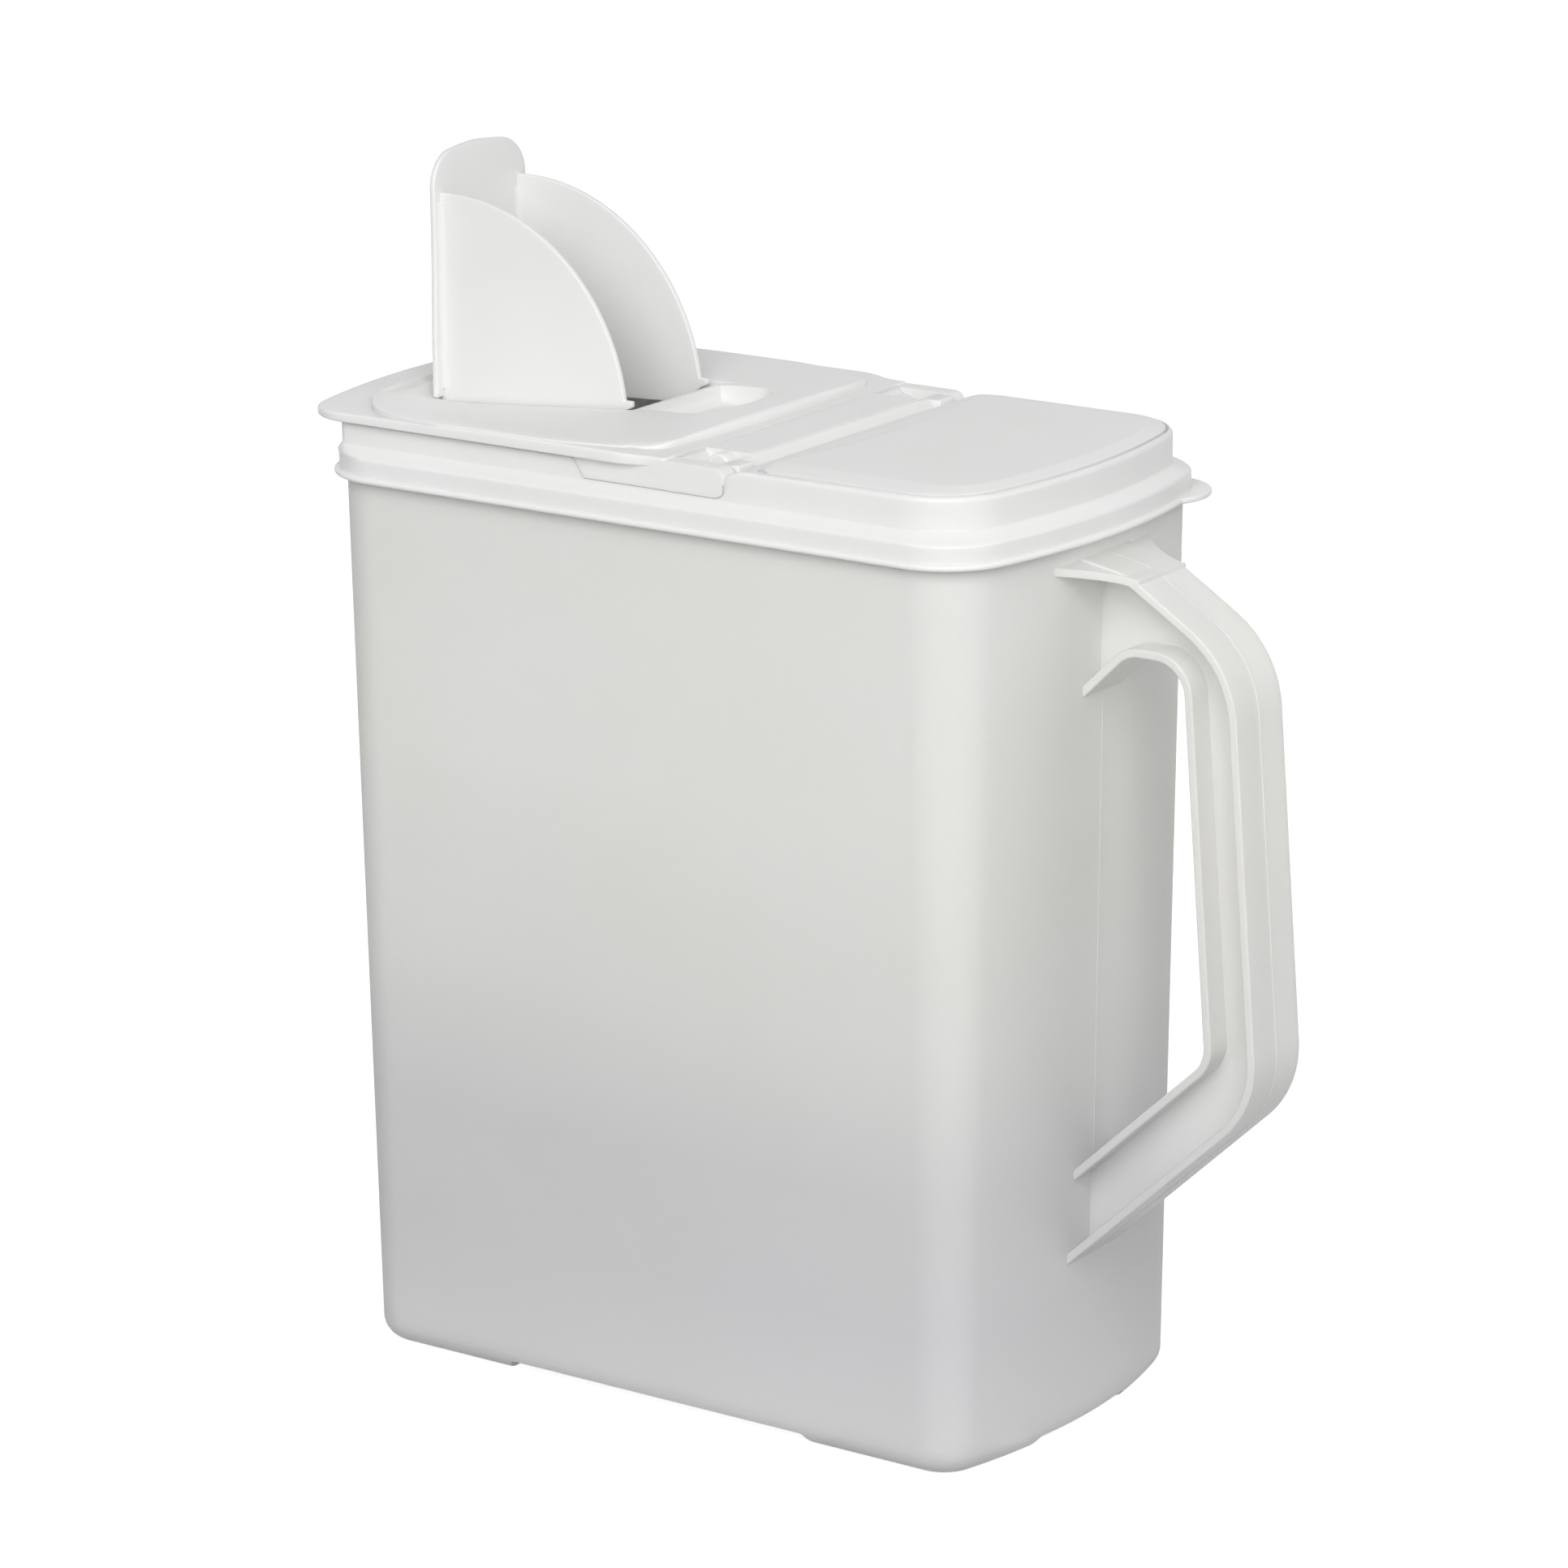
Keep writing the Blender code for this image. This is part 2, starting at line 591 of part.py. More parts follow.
def hinge_pocket(side, grow):
    """Walls (grow = LID_WALL) or space (grow = 0) of the pocket round a hinge knuckle."""
    x = (HINGE_X - 8.1 * MM - grow, HINGE_X + POCKET_REACH + grow)
    near = side * (BAR_HALF + GAP - grow)
    far = side * (TOP_WIDTH / 2 - STEP_IN - (0.4 * MM if grow else 1.4 * MM))
    floor = HINGE_Z - POCKET_DEPTH - grow
    top = BLOCK_TOP - 1.0 * MM if grow else BAR_TOP + 5.0 * MM
    return box("pocket", x, sorted((near, far)), (floor, top))


def arm_notch(side):
    """Clears the flip lid's strip above the block's left edge."""
    y = sorted((side * (BAR_HALF + GAP), side * (TOP_WIDTH / 2 + 5.0 * MM)))
    return box("notch", (BLOCK_LEFT - 1.0 * MM, HINGE_X + STRIP_REACH + 0.6 * MM), y,
               (FLIP_PAD_TOP - FLIP_SKIN - 0.5 * MM, BAR_TOP + 5.0 * MM))


def pin_slot(side):
    """Opens the side wall behind the arm for its pin and strip."""
    y = sorted((side * (TOP_WIDTH / 2 - STEP_IN - 2.2 * MM), side * (TOP_WIDTH / 2 + 1.0 * MM)))
    slot = rod("slot", SLOT_RADIUS, HINGE_X, HINGE_Z, y)
    x = (HINGE_X - SLOT_RADIUS, HINGE_X + SLOT_RADIUS)
    return add(slot, box("slot_top", x, y, (HINGE_Z, BAR_TOP + 5.0 * MM)))


def hinge_bar():
    left = HINGE_X - 13.4 * MM
    soft = 1.0 * MM
    corners = [(left, DECK_UNDER, 0), (BAR_RIGHT, DECK_UNDER, 0), (BAR_RIGHT, BAR_TOP, soft),
               (left, BAR_TOP, soft)]
    return side_prism("bar", round_corners(corners, 3), -BAR_HALF, BAR_HALF)


def make_lid_base():
    lid = tier_solid()
    tab = prism("tab", arc((TAB_X, TAB_Y), TAB_RADIUS, 0.0, 2 * math.pi, 36)[:-1],
                RIM_Z, FLANGE_TOP - 0.1 * MM)
    block = block_solid(-STEP_IN, BLOCK_LEFT, DECK_UNDER, BLOCK_TOP, 1.2 * MM)
    trough = box("trough", (BAR_RIGHT, PAD_LEFT + 12.0 * MM), (-TOP_WIDTH, TOP_WIDTH),
                 (BLOCK_TOP - TROUGH_DROP, BLOCK_TOP + 5.0 * MM))
    cut(block, trough)
    add(lid, tab, block, fixed_pad(), hinge_bar())

    inner = STEP_IN + LID_WALL
    cavity = prism("cavity", lid_plan(-inner), RIM_Z - 1.0 * MM, DECK_UNDER)
    high_cavity = prism("high_cavity", right_part(lid_plan(-inner), PAD_LEFT + 9.0 * MM),
                        DECK_UNDER - 1.0 * MM, BLOCK_TOP - 1.9 * MM)
    bar_cavity = box("bar_cavity", (HINGE_X - 11.6 * MM, BAR_RIGHT - LID_WALL),
                     (-BAR_HALF + 7.0 * MM, BAR_HALF - 7.0 * MM), (DECK_UNDER - 1.0 * MM, BAR_TOP - LID_WALL))
    channel = prism("channel", lid_plan(CHANNEL_CLEAR), RIM_Z - 1.0 * MM, RIM_TOP + GAP)
    plug = prism("plug", lid_plan(-WALL - GAP), RIM_Z - 2.0 * MM, RIM_TOP + 1.0 * MM)
    cut(channel, plug)
    cut(lid, channel, cavity, high_cavity, bar_cavity)

    mouth = prism("mouth", deck_opening(0.0), DECK_UNDER - 2.0 * MM, DECK_TOP + 5.0 * MM)
    seat = prism("seat", deck_opening(-COLLAR_LIP - GAP), DECK_TOP - COLLAR_LIP_THICK - 0.1 * MM,
                 DECK_TOP + 5.0 * MM)
    cut(lid, mouth, seat)
    add(lid, *both_sides(lambda side: hinge_pocket(side, LID_WALL)))
    cut(lid, *both_sides(lambda side: hinge_pocket(side, 0.0)), *both_sides(arm_notch),
        *both_sides(pin_slot))
    knuckle_end = BAR_HALF + GAP + KNUCKLE_LENGTH
    for side in (-1, 1):
        knuckle_y = (side * (BAR_HALF - 1.0 * MM), side * knuckle_end)
        add(lid, rod("knuckle", KNUCKLE_RADIUS, HINGE_X, HINGE_Z, knuckle_y))
    for side in (-1, 1):
        bore_y = (side * (BAR_HALF - PIN_SEAT - GAP), side * (knuckle_end + 1.0 * MM))
        cut(lid, rod("bore", PIN_RADIUS + GAP, HINGE_X, HINGE_Z, bore_y))
    return finish_part(lid, "lid_base", WHITE_PLASTIC)


# ---------------------------------------------------------------- mouth collar
def make_mouth_collar():
    """A sleeve that hangs in the mouth, cut away on the slant towards the hinge."""
    bottom = COLLAR_TOP - COLLAR_DEPTH
    lip_z = COLLAR_TOP - COLLAR_LIP_THICK
    rings = [level(deck_opening(GAP), bottom), level(deck_opening(GAP), lip_z),
             level(deck_opening(-COLLAR_LIP), lip_z), level(deck_opening(-COLLAR_LIP), COLLAR_TOP - 0.1 * MM),
             level(deck_opening(GAP + COLLAR_SKIN), COLLAR_TOP - 0.1 * MM),
             level(deck_opening(GAP + COLLAR_SKIN), bottom)]
    bm = bmesh.new()
    loops = [[bm.verts.new(point) for point in ring] for ring in rings]
    count = len(rings[0])
    for low, high in zip(loops, loops[1:] + loops[:1]):
        for i in range(count):
            after = (i + 1) % count
            bm.faces.new((low[i], low[after], high[after], high[i]))
    collar = new_object("collar", mesh_from_bmesh("collar", bm))
    slant_top = lip_z - 3.0 * MM
    right = BLOCK_LEFT + 30.0 * MM
    rise = slant_top - bottom
    corners = [(COLLAR_CUT_X, bottom, 8.0 * MM), (COLLAR_CUT_X + rise * 0.98, slant_top, 3.0 * MM),
               (right, slant_top, 0), (right, bottom - 5.0 * MM, 0),
               (COLLAR_CUT_X - 12.0 * MM, bottom - 5.0 * MM, 0), (COLLAR_CUT_X - 12.0 * MM, bottom, 0)]
    cut(collar, side_prism("slant", round_corners(corners), -TOP_WIDTH, TOP_WIDTH))
    return finish_part(collar, "mouth_collar", WHITE_PLASTIC)


# ---------------------------------------------------------------- flip lid
def flip_plan(side_out, end_out, right):
    """Outline of the flip lid: flush sides, a finger lip past the bowed end."""
    half_width = TOP_WIDTH / 2 + side_out
    length = TOP_LENGTH / 2 + end_out
    half = [(-x, -y) for x, y in bowed_end(length, half_width, END_BOW, TOP_CORNER)]
    return half + [(right, -half_width), (right, half_width)]


def flip_pad_plan(grow):
    half = FLIP_PAD_HALF + grow
    right = FLIP_PAD_RIGHT + grow
    corner = 12.0 * MM
    left_half = [(-x, -y) for x, y in bowed_end(FLIP_PAD_LEFT + grow, half, END_BOW * 0.5, 16.0 * MM)]
    right_half = arc((right - corner, -half + corner), corner, -math.pi / 2, 0.0, ARC_STEPS)
    right_half += arc((right - corner, half - corner), corner, 0.0, math.pi / 2, ARC_STEPS)
    return left_half + right_half


def smooth(value):
    value = min(max(value, 0.0), 1.0)
    return value * value * (3 - 2 * value)


def dish_surface(x, y):
    """The ramp round the spout: falls towards the pouring end, rises to both sides."""
    ramp = min((DISH_RIGHT - x) / (DISH_RIGHT - DISH_LEFT), 1.0)
    side = 1 - smooth((abs(y) - DISH_FLAT) / (DISH_HALF - DISH_FLAT))
    depth = (DISH_DEPTH + 0.15 * MM) * ramp * side
    bow = y * y / TOP_LENGTH * 0.6
    behind = smooth((DISH_LEFT - 2.0 * MM + bow - x) / (6.0 * MM))
    depth += (min(depth, FLIP_PAD_RISE) - depth) * behind
    return FLIP_PAD_TOP + 0.15 * MM - depth


def dish_grid(trim):
    right = DISH_RIGHT + 4.0 * MM
    left = -FLIP_PAD_LEFT - 4.0 * MM + trim
    xs = [right - i * (right - DISH_LEFT) / 7 for i in range(8)]
    xs += [DISH_LEFT - 2.0 * MM - i * (-left + DISH_LEFT - 2.0 * MM) / 4 for i in range(5)]
    half = [DISH_FLAT * 0.5, DISH_FLAT]
    half += [DISH_FLAT + i * (DISH_HALF - DISH_FLAT) / 6 for i in range(1, 7)]
    half.append(DISH_HALF + 1.0 * MM - trim)
    return sorted(xs), [-y for y in reversed(half)] + [0.0] + half


def spout_opening(grow):
    """Hole for the cheeks, from behind the plate to past the stop lugs."""
    half = SPOUT_HALF + 1.3 * MM + grow
    left = SPOUT_FACE_X - 1.1 * MM - grow
    right = -31.6 * MM + grow
    return [(left, -half), (right, -half), (right, half), (left, half)]


def scoop_plan(grow):
    """Finger recess beyond the spout's tab."""
    left = -29.4 * MM - grow
    right = SCOOP_END + grow
    points = [(left, -SCOOP_HALF - grow)]
    for i in range(13):
        angle = -math.pi / 2 + math.pi * i / 12
        points.append((left + 3.0 * MM + (right - left - 3.0 * MM) * math.cos(angle),
                       (SCOOP_HALF + grow) * math.sin(angle)))
    return points + [(left, SCOOP_HALF + grow)]


def flip_arm(side):
    """Cheek, strip and pin of one hinge arm."""
    lug_low = HINGE_Z - LUG_RADIUS
    top = FLIP_PAD_TOP
    cheek = [(LUG_START, FLIP_UNDER + 0.4 * MM), (LUG_START + 5.0 * MM, lug_low)]
    end_radius = LUG_RADIUS + 0.3 * MM
    cheek += arc((HINGE_X, HINGE_Z), LUG_RADIUS, -math.pi / 2, 0.0, 8)
    lift = math.asin((top - HINGE_Z) / end_radius)
    cheek += arc((HINGE_X, HINGE_Z), end_radius, 0.15, lift, 4)
    cheek += [(LUG_START + 14.0 * MM, top), (LUG_START, FLIP_TOP - 0.2 * MM)]
    y = sorted((side * LUG_INNER, side * LUG_OUTER))
    lug = side_prism("lug", cheek, *y)
    strip_y = sorted((side * (BAR_HALF + 0.9 * MM), side * (LUG_INNER + 0.5 * MM)))
    strip_right = HINGE_X + STRIP_REACH
    strip = box("strip", (FLIP_PAD_RIGHT + 4.0 * MM, strip_right), strip_y,
                (top - FLIP_SKIN, top - 0.1 * MM))
    window_y = sorted((side * (BAR_HALF + 2.0 * MM), side * (BAR_HALF + GAP + KNUCKLE_LENGTH + 0.9 * MM)))
    reach = KNUCKLE_RADIUS + 0.9 * MM
    window = box("window", (HINGE_X - reach, HINGE_X + reach), window_y, (HINGE_Z, top + 1.0 * MM))
    clear = rod("clear", KNUCKLE_RADIUS + 0.7 * MM, HINGE_X, HINGE_Z,
                (side * BAR_HALF, side * (BAR_HALF + GAP + KNUCKLE_LENGTH + 0.6 * MM)))
    cut(strip, window, clear)
    pin = rod("pin", PIN_RADIUS, HINGE_X, HINGE_Z,
              (side * (BAR_HALF - PIN_SEAT), side * (LUG_INNER + 0.5 * MM)), 20)
    return strip, lug, pin


def spout_bearing(side):
    y = sorted((side * (SPOUT_HALF + 1.3 * MM), side * (SPOUT_HALF + 1.3 * MM + 4.0 * MM)))
    return box("bearing", (TRUNNION_X - 3.2 * MM, TRUNNION_X + 3.2 * MM), y,
               (TRUNNION_Z - 3.0 * MM, DISH_FLOOR - 0.5 * MM))


def make_flip_lid():
    right = HINGE_X - 14.5 * MM
    side = LUG_OUTER - 0.15 * MM - TOP_WIDTH / 2
    soft = 0.8 * MM
    rings = [level(flip_plan(side - 0.4 * MM, LIP_OUT - 0.4 * MM, right), FLIP_UNDER),
             level(flip_plan(side, LIP_OUT, right), FLIP_UNDER + 0.6 * MM),
             level(flip_plan(side, LIP_OUT, right), FLIP_TOP - soft),
             level(flip_plan(side - 0.3 * soft, LIP_OUT - 0.3 * soft, right), FLIP_TOP - 0.3 * soft),
             level(flip_plan(side - soft, LIP_OUT - soft, right), FLIP_TOP)]
    lid = loft("flip", rings)
    pad = loft("flip_pad", [level(flip_pad_plan(FLIP_PAD_SLOPE), FLIP_TOP - 0.5 * MM),
                            level(flip_pad_plan(FLIP_PAD_SLOPE), FLIP_TOP + 0.1 * MM),
                            level(flip_pad_plan(FLIP_PAD_SLOPE * 0.4), FLIP_TOP + 0.7 * FLIP_PAD_RISE),
                            level(flip_pad_plan(0.0), FLIP_PAD_TOP)])
    add(lid, pad)
    hollow = prism("hollow", deck_opening(-1.5 * MM), FLIP_UNDER - 1.0 * MM, FLIP_TOP - FLIP_SKIN)
    cut(lid, hollow)
    bowl = height_solid("bowl", *dish_grid(0.5 * MM), lambda x, y: dish_surface(x, y) - FLIP_SKIN,
                        lambda x, y: FLIP_TOP + 0.3 * MM)
    add(lid, bowl)
    add(lid, prism("scoop_cup", scoop_plan(FLIP_SKIN), FLIP_PAD_TOP - SCOOP_DEPTH - FLIP_SKIN,
                   FLIP_TOP + 0.2 * MM))
    cut(lid, height_solid("dish", *dish_grid(0.0), dish_surface, lambda x, y: FLIP_PAD_TOP + 5.0 * MM))
    add(lid, *both_sides(spout_bearing))
    cut(lid, prism("scoop", scoop_plan(0.0), FLIP_PAD_TOP - SCOOP_DEPTH, FLIP_PAD_TOP + 5.0 * MM),
        prism("spout_hole", spout_opening(0.0), FLIP_UNDER - 20.0 * MM, FLIP_PAD_TOP + 5.0 * MM))
    cut(lid, rod("trunnion_bore", TRUNNION_RADIUS + GAP, TRUNNION_X, TRUNNION_Z,
                 (-SPOUT_HALF - TRUNNION_REACH - GAP, SPOUT_HALF + TRUNNION_REACH + GAP), 20))
    for arm in both_sides(flip_arm):
        add(lid, *arm)
    return finish_part(lid, "flip_lid", WHITE_PLASTIC, (HINGE_X, 0.0, HINGE_Z))


# ---------------------------------------------------------------- pour spout
def spout_plate():
    """The spout's plate, raised: straight sides, a rounded tab curled outwards."""
    bottom = DISH_FLOOR + 1.1 * MM
    top = TRUNNION_Z + SPOUT_LENGTH + 2.6 * MM
    round_height = 15.0 * MM
    heights = [bottom, top - 24.0 * MM, top - round_height]
    heights += [top - round_height * (1 - math.sin(math.pi / 2 * i / 7)) for i in range(1, 8)]
    rings = []
    for z in heights:
        climb = max(0.0, (z - (top - round_height)) / round_height)
        half = SPOUT_PLATE_HALF * max(max(1 - climb ** 2.6, 0.0) ** (1 / 2.2), 0.28)
        curl = SPOUT_TAB_BEND * max(0.0, (z - (top - 22.0 * MM)) / (22.0 * MM)) ** 2
        x = SPOUT_FACE_X - curl
        rings.append([(x, -half, z), (x, half, z), (x - SPOUT_SKIN, half, z), (x - SPOUT_SKIN, -half, z)])
    return loft("plate", rings)


def spout_cheek(side):
    """A quarter disc with a small stop lug at its free corner."""
    centre = (TRUNNION_X + 1.6 * MM, TRUNNION_Z + 0.8 * MM)
    low = TRUNNION_Z - 1.0 * MM
    stop_z = FLIP_PAD_TOP + 0.4 * MM
    right = centre[0] + SPOUT_RADIUS
    points = arc((TRUNNION_X, TRUNNION_Z), 2.8 * MM, math.pi, 1.5 * math.pi, 4)
    points += [(TRUNNION_X + 8.0 * MM, low), (right - 6.0 * MM, low + 2.4 * MM), (right, stop_z - 1.0 * MM),
               (right + STOP_REACH, stop_z), (right + STOP_REACH, stop_z + STOP_HEIGHT)]
    start = math.asin((stop_z + STOP_HEIGHT - centre[1]) / SPOUT_RADIUS)
    finish = math.acos((SPOUT_FACE_X - 0.5 * MM - centre[0]) / SPOUT_RADIUS)
    points += arc(centre, SPOUT_RADIUS, start, finish, 26)
    points += [(SPOUT_FACE_X - 0.5 * MM, TRUNNION_Z + 3.6 * MM)]
    y = sorted((side * (SPOUT_HALF - SPOUT_SKIN), side * SPOUT_HALF))
    return side_prism("cheek", points, *y)


def make_pour_spout():
    spout = spout_plate()
    add(spout, *both_sides(spout_cheek))
    for side in (-1, 1):
        trunnion_y = (side * (SPOUT_HALF - 1.0 * MM), side * (SPOUT_HALF + TRUNNION_REACH))
        add(spout, rod("trunnion", TRUNNION_RADIUS, TRUNNION_X, TRUNNION_Z, trunnion_y, 20))
    return spout


def centre_origin():
    """Slide everything along X until the origin is half way between lip and grip."""
    lip = -(TOP_LENGTH / 2 + LIP_OUT)
    grip = max(x for x, z in handle_lines()[0])
    ORIGIN.location.x = -(lip + grip) / 2


def main():
    centre_origin()
    make_tub()
    make_lid_base()
    make_mouth_collar()
    flip_lid = make_flip_lid()
    finish_part(make_pour_spout(), "pour_spout", WHITE_PLASTIC, (TRUNNION_X, 0.0, TRUNNION_Z), flip_lid)


main()
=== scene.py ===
import math

import bmesh
import bpy
from mathutils import Matrix, Vector

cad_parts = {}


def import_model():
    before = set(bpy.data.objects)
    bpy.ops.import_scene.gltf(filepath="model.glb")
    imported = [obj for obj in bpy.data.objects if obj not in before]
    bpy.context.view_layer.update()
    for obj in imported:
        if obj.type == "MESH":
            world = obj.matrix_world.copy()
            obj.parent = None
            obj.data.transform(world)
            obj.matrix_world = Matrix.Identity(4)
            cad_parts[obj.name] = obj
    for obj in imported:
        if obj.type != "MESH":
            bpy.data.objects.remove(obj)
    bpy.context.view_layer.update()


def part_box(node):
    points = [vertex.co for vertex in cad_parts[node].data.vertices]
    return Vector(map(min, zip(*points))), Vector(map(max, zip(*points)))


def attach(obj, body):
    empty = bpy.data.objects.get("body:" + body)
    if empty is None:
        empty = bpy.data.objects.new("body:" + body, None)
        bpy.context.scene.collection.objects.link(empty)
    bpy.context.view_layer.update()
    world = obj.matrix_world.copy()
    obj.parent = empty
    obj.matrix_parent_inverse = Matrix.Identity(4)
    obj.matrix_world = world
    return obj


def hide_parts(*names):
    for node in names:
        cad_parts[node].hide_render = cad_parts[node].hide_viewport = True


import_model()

MM = 0.001

# The lid base is centred on the tub's own axis, and the design below is drawn about it.
LID_LOW, LID_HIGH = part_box("lid_base")
AXIS_X = (LID_LOW[0] + LID_HIGH[0]) / 2
TO_WORLD = Matrix.Translation((AXIS_X, 0.0, 0.0))

ARC_STEPS = 14
BOW_STEPS = 28
WALL_STEPS = 8
BOTTOM_STEPS = 10
EDGE_STEPS = 5
ROD_SEGMENTS = 48
BEVEL_ANGLE = math.radians(40.0)
SHARP_ANGLE = math.radians(34.0)
WELD = 0.01 * MM
GAP = 0.3 * MM  # between pieces that fit together
OVER = 6.0 * MM  # how far a cutting solid stands past the surface that it cuts

# ---------------- design: tub and handle
RIM_Z = 275.4 * MM
TOP_LENGTH = 241.8 * MM
TOP_WIDTH = 129.6 * MM
TOP_CORNER = 19.2 * MM
BASE_LENGTH = 232.8 * MM
BASE_WIDTH = 122.6 * MM
BASE_CORNER = 14.0 * MM
END_BOW = 10.0 * MM
WALL = 1.6 * MM
FLOOR = 2.2 * MM
BOTTOM_ROUND = 7.0 * MM
FOOT_HEIGHT = 3.9 * MM
FOOT_GAP_LENGTH = 108.0 * MM
FOOT_GAP_WIDTH = 46.0 * MM
TUB_RIM_RISE = 5.9 * MM

GRIP_OUT = 64.38 * MM
GRIP_LEAN = 0.073
GRIP_FROM_Z = 116.0 * MM
HANDLE_DEPTH = 18.5 * MM
HANDLE_HALF = 13.0 * MM
HANDLE_FLANGE = 2.6 * MM
HANDLE_SOFT = 0.6 * MM
INNER_HALF = 10.5 * MM
WEB_HALF = 1.4 * MM
PARTING_HALF = 0.35 * MM
PARTING_RISE = 0.14 * MM
SHELF_LENGTH = 25.0 * MM
SHELF_SPREAD = 17.0 * MM
SHELF_Z = 270.7 * MM
SHELF_FALL = 0.17
SEAM_HALF = 0.25 * MM
SEAM_RISE = 0.12 * MM
SEAM_LOW_Z = 60.0 * MM
SEAM_HIGH_Z = 262.0 * MM

# ---------------- design: lid base and collar
FLANGE_OUT = 3.95 * MM
TIER_OUT = 2.4 * MM
STEP_IN = 1.9 * MM
LID_WALL = 1.7 * MM
TIER_TOP = RIM_Z + 7.2 * MM
LEDGE_TOP = TIER_TOP + 3.0 * MM
DECK_TOP = RIM_Z + 16.3 * MM
DECK_UNDER = DECK_TOP - 2.4 * MM
BLOCK_TOP = RIM_Z + 19.9 * MM
PAD_TOP = BLOCK_TOP + 1.6 * MM
BAR_TOP = RIM_Z + 19.5 * MM

LEFT_CORNER = 5.0 * MM
RIGHT_CORNER = 25.3 * MM
FLANGE_TOP = RIM_Z + 1.8 * MM
RIM_TOP = RIM_Z + TUB_RIM_RISE
CHANNEL_CLEAR = 0.65 * MM
TAB_RADIUS = 16.6 * MM
TAB_X = TOP_LENGTH / 2 - 14.4 * MM
TAB_Y = TOP_WIDTH / 2 - 14.8 * MM
SHOULDER_SOFT = 1.8 * MM
PAD_CREASE = 4.1 * MM
PAD_SLOPE = 7.3 * MM
PAD_END_SHIFT = 3.0 * MM
PAD_LEFT = 43.0 * MM
PAD_HOLLOW = 6.5 * MM
PAD_CORNER = 5.0 * MM
PAD_FOOT_OUT = 2.9 * MM
GROOVE_WIDTH = 0.9 * MM
GROOVE_LEFT = 4.6 * MM
GROOVE_CORNER = 5.5 * MM
GROOVE_DEPTH = 1.3 * MM
# Pad border: share of its slope, rise above the block in mm, and shift of its left edge in mm.
PAD_BORDER = [(0.03, 0.36, 2.9), (0.5, 0.92, 2.75), (0.66, 1.1, 2.5), (0.95, 1.5, 0.6), (1.0, 1.56, 0.3)]
BLOCK_LEFT = 10.6 * MM
MOUTH_RIGHT = 5.6 * MM
RING_WIDTH = 7.7 * MM
END_RING = 3.2 * MM
MOUTH_CORNER = 11.0 * MM
COLLAR_TOP = DECK_TOP
COLLAR_SKIN = 1.3 * MM
COLLAR_DEPTH = 50.0 * MM
COLLAR_LIP = 1.2 * MM
COLLAR_LIP_THICK = 1.2 * MM
COLLAR_CUT_X = -30.0 * MM

# ---------------- design: hinge
BAR_LEFT = 11.0 * MM
BAR_RIGHT = 27.5 * MM
BAR_FOOT = 30.2 * MM
BAR_HALF = 43.6 * MM
TROUGH_Z = 291.4 * MM
TROUGH_LINE = [(27.2 * MM, 292.2 * MM), (BAR_FOOT, 292.2 * MM), (33.0 * MM, 293.5 * MM),
               (36.5 * MM, 294.55 * MM), (41.0 * MM, 295.0 * MM), (46.0 * MM, 295.4 * MM)]
HINGE_X = 27.5 * MM
HINGE_Z = 292.7 * MM
ARM_X = 27.3 * MM
ARM_Z = 290.4 * MM
ARM_RADIUS = 4.4 * MM
ARM_TURN = 1.9 * MM
ARM_INNER = 57.0 * MM
ARM_OUTER = 62.9 * MM
ARM_CLEAR = 0.15 * MM
ARM_SKIRT_Z = LEDGE_TOP + 0.5 * MM
PIN_RADIUS = 1.1 * MM
EYE_LEFT = 24.9 * MM
EYE_START = 48.3 * MM
EYE_RISE = 1.8 * MM
EYE_GAP = 0.75 * MM
CATCH_X = 19.1 * MM
CATCH_RADIUS = 4.2 * MM
POCKET_START = BAR_HALF + 0.05 * MM
POCKET_RIGHT = 31.4 * MM
POCKET_Z = 290.2 * MM
POCKET_SLOPE = 4.6 * MM

# ---------------- design: flip lid
FLIP_UNDER = DECK_TOP + GAP
FLIP_TOP = FLIP_UNDER + 3.3 * MM
FLIP_PAD_TOP = FLIP_TOP + 1.5 * MM
FLIP_SKIN = 1.8 * MM
CROWN_RISE = 1.5 * MM
CROWN_HALF = 58.0 * MM
RIM_SOFT = 0.8 * MM
LIP_OUT = 9.48 * MM
LIP_CORNER = 16.5 * MM
RIM_HALF = 65.45 * MM
FLIP_RIGHT = 10.2 * MM
FOOT_LEFT = 117.0 * MM
FOOT_RIGHT = 5.9 * MM
FOOT_NARROW = 7.0 * MM
FOOT_HALF = 64.3 * MM
FOOT_CORNER = 40.0 * MM
FOOT_BORDER = 5.2 * MM
FOOT_GROOVE_END = -73.0 * MM
FOOT_GROOVE_DEPTH = 0.8 * MM
# Share of the border's width and of its rise, from the foot to the pad's top.
FLIP_BORDER = [(0.0, 0.45), (0.06, 0.60), (0.2, 0.73), (0.45, 0.86), (0.7, 0.955), (0.88, 0.99), (1.0, 1.0)]
PAD_CENTRE_X = -50.0 * MM
PAD_SCALES = (0.985, 0.93, 0.82, 0.7, 0.58, 0.46, 0.34, 0.22, 0.1)
DISH_DEPTH = 5.2 * MM
DISH_RIGHT = -33.0 * MM
DISH_LEFT = -104.0 * MM
DISH_FLAT = 24.0 * MM
DISH_HALF = 42.0 * MM
DISH_FLOOR = FLIP_PAD_TOP - DISH_DEPTH
HOLE_RIGHT = -31.6 * MM
HOLE_CLEAR = 1.3 * MM
SCOOP_START = -29.4 * MM
SCOOP_END = -5.0 * MM
SCOOP_HALF = 20.5 * MM
SCOOP_DEPTH = 5.0 * MM
SCOOP_SOFT = 4.0 * MM
# Stations along the flip lid's long sides, as shares of their length from the hinge.
SIDE_SHARES = [0.02, 0.04, 0.065, 0.09, 0.115, 0.14, 0.2, 0.28, 0.36, 0.44, 0.52, 0.6, 0.68, 0.76, 0.84, 0.92]

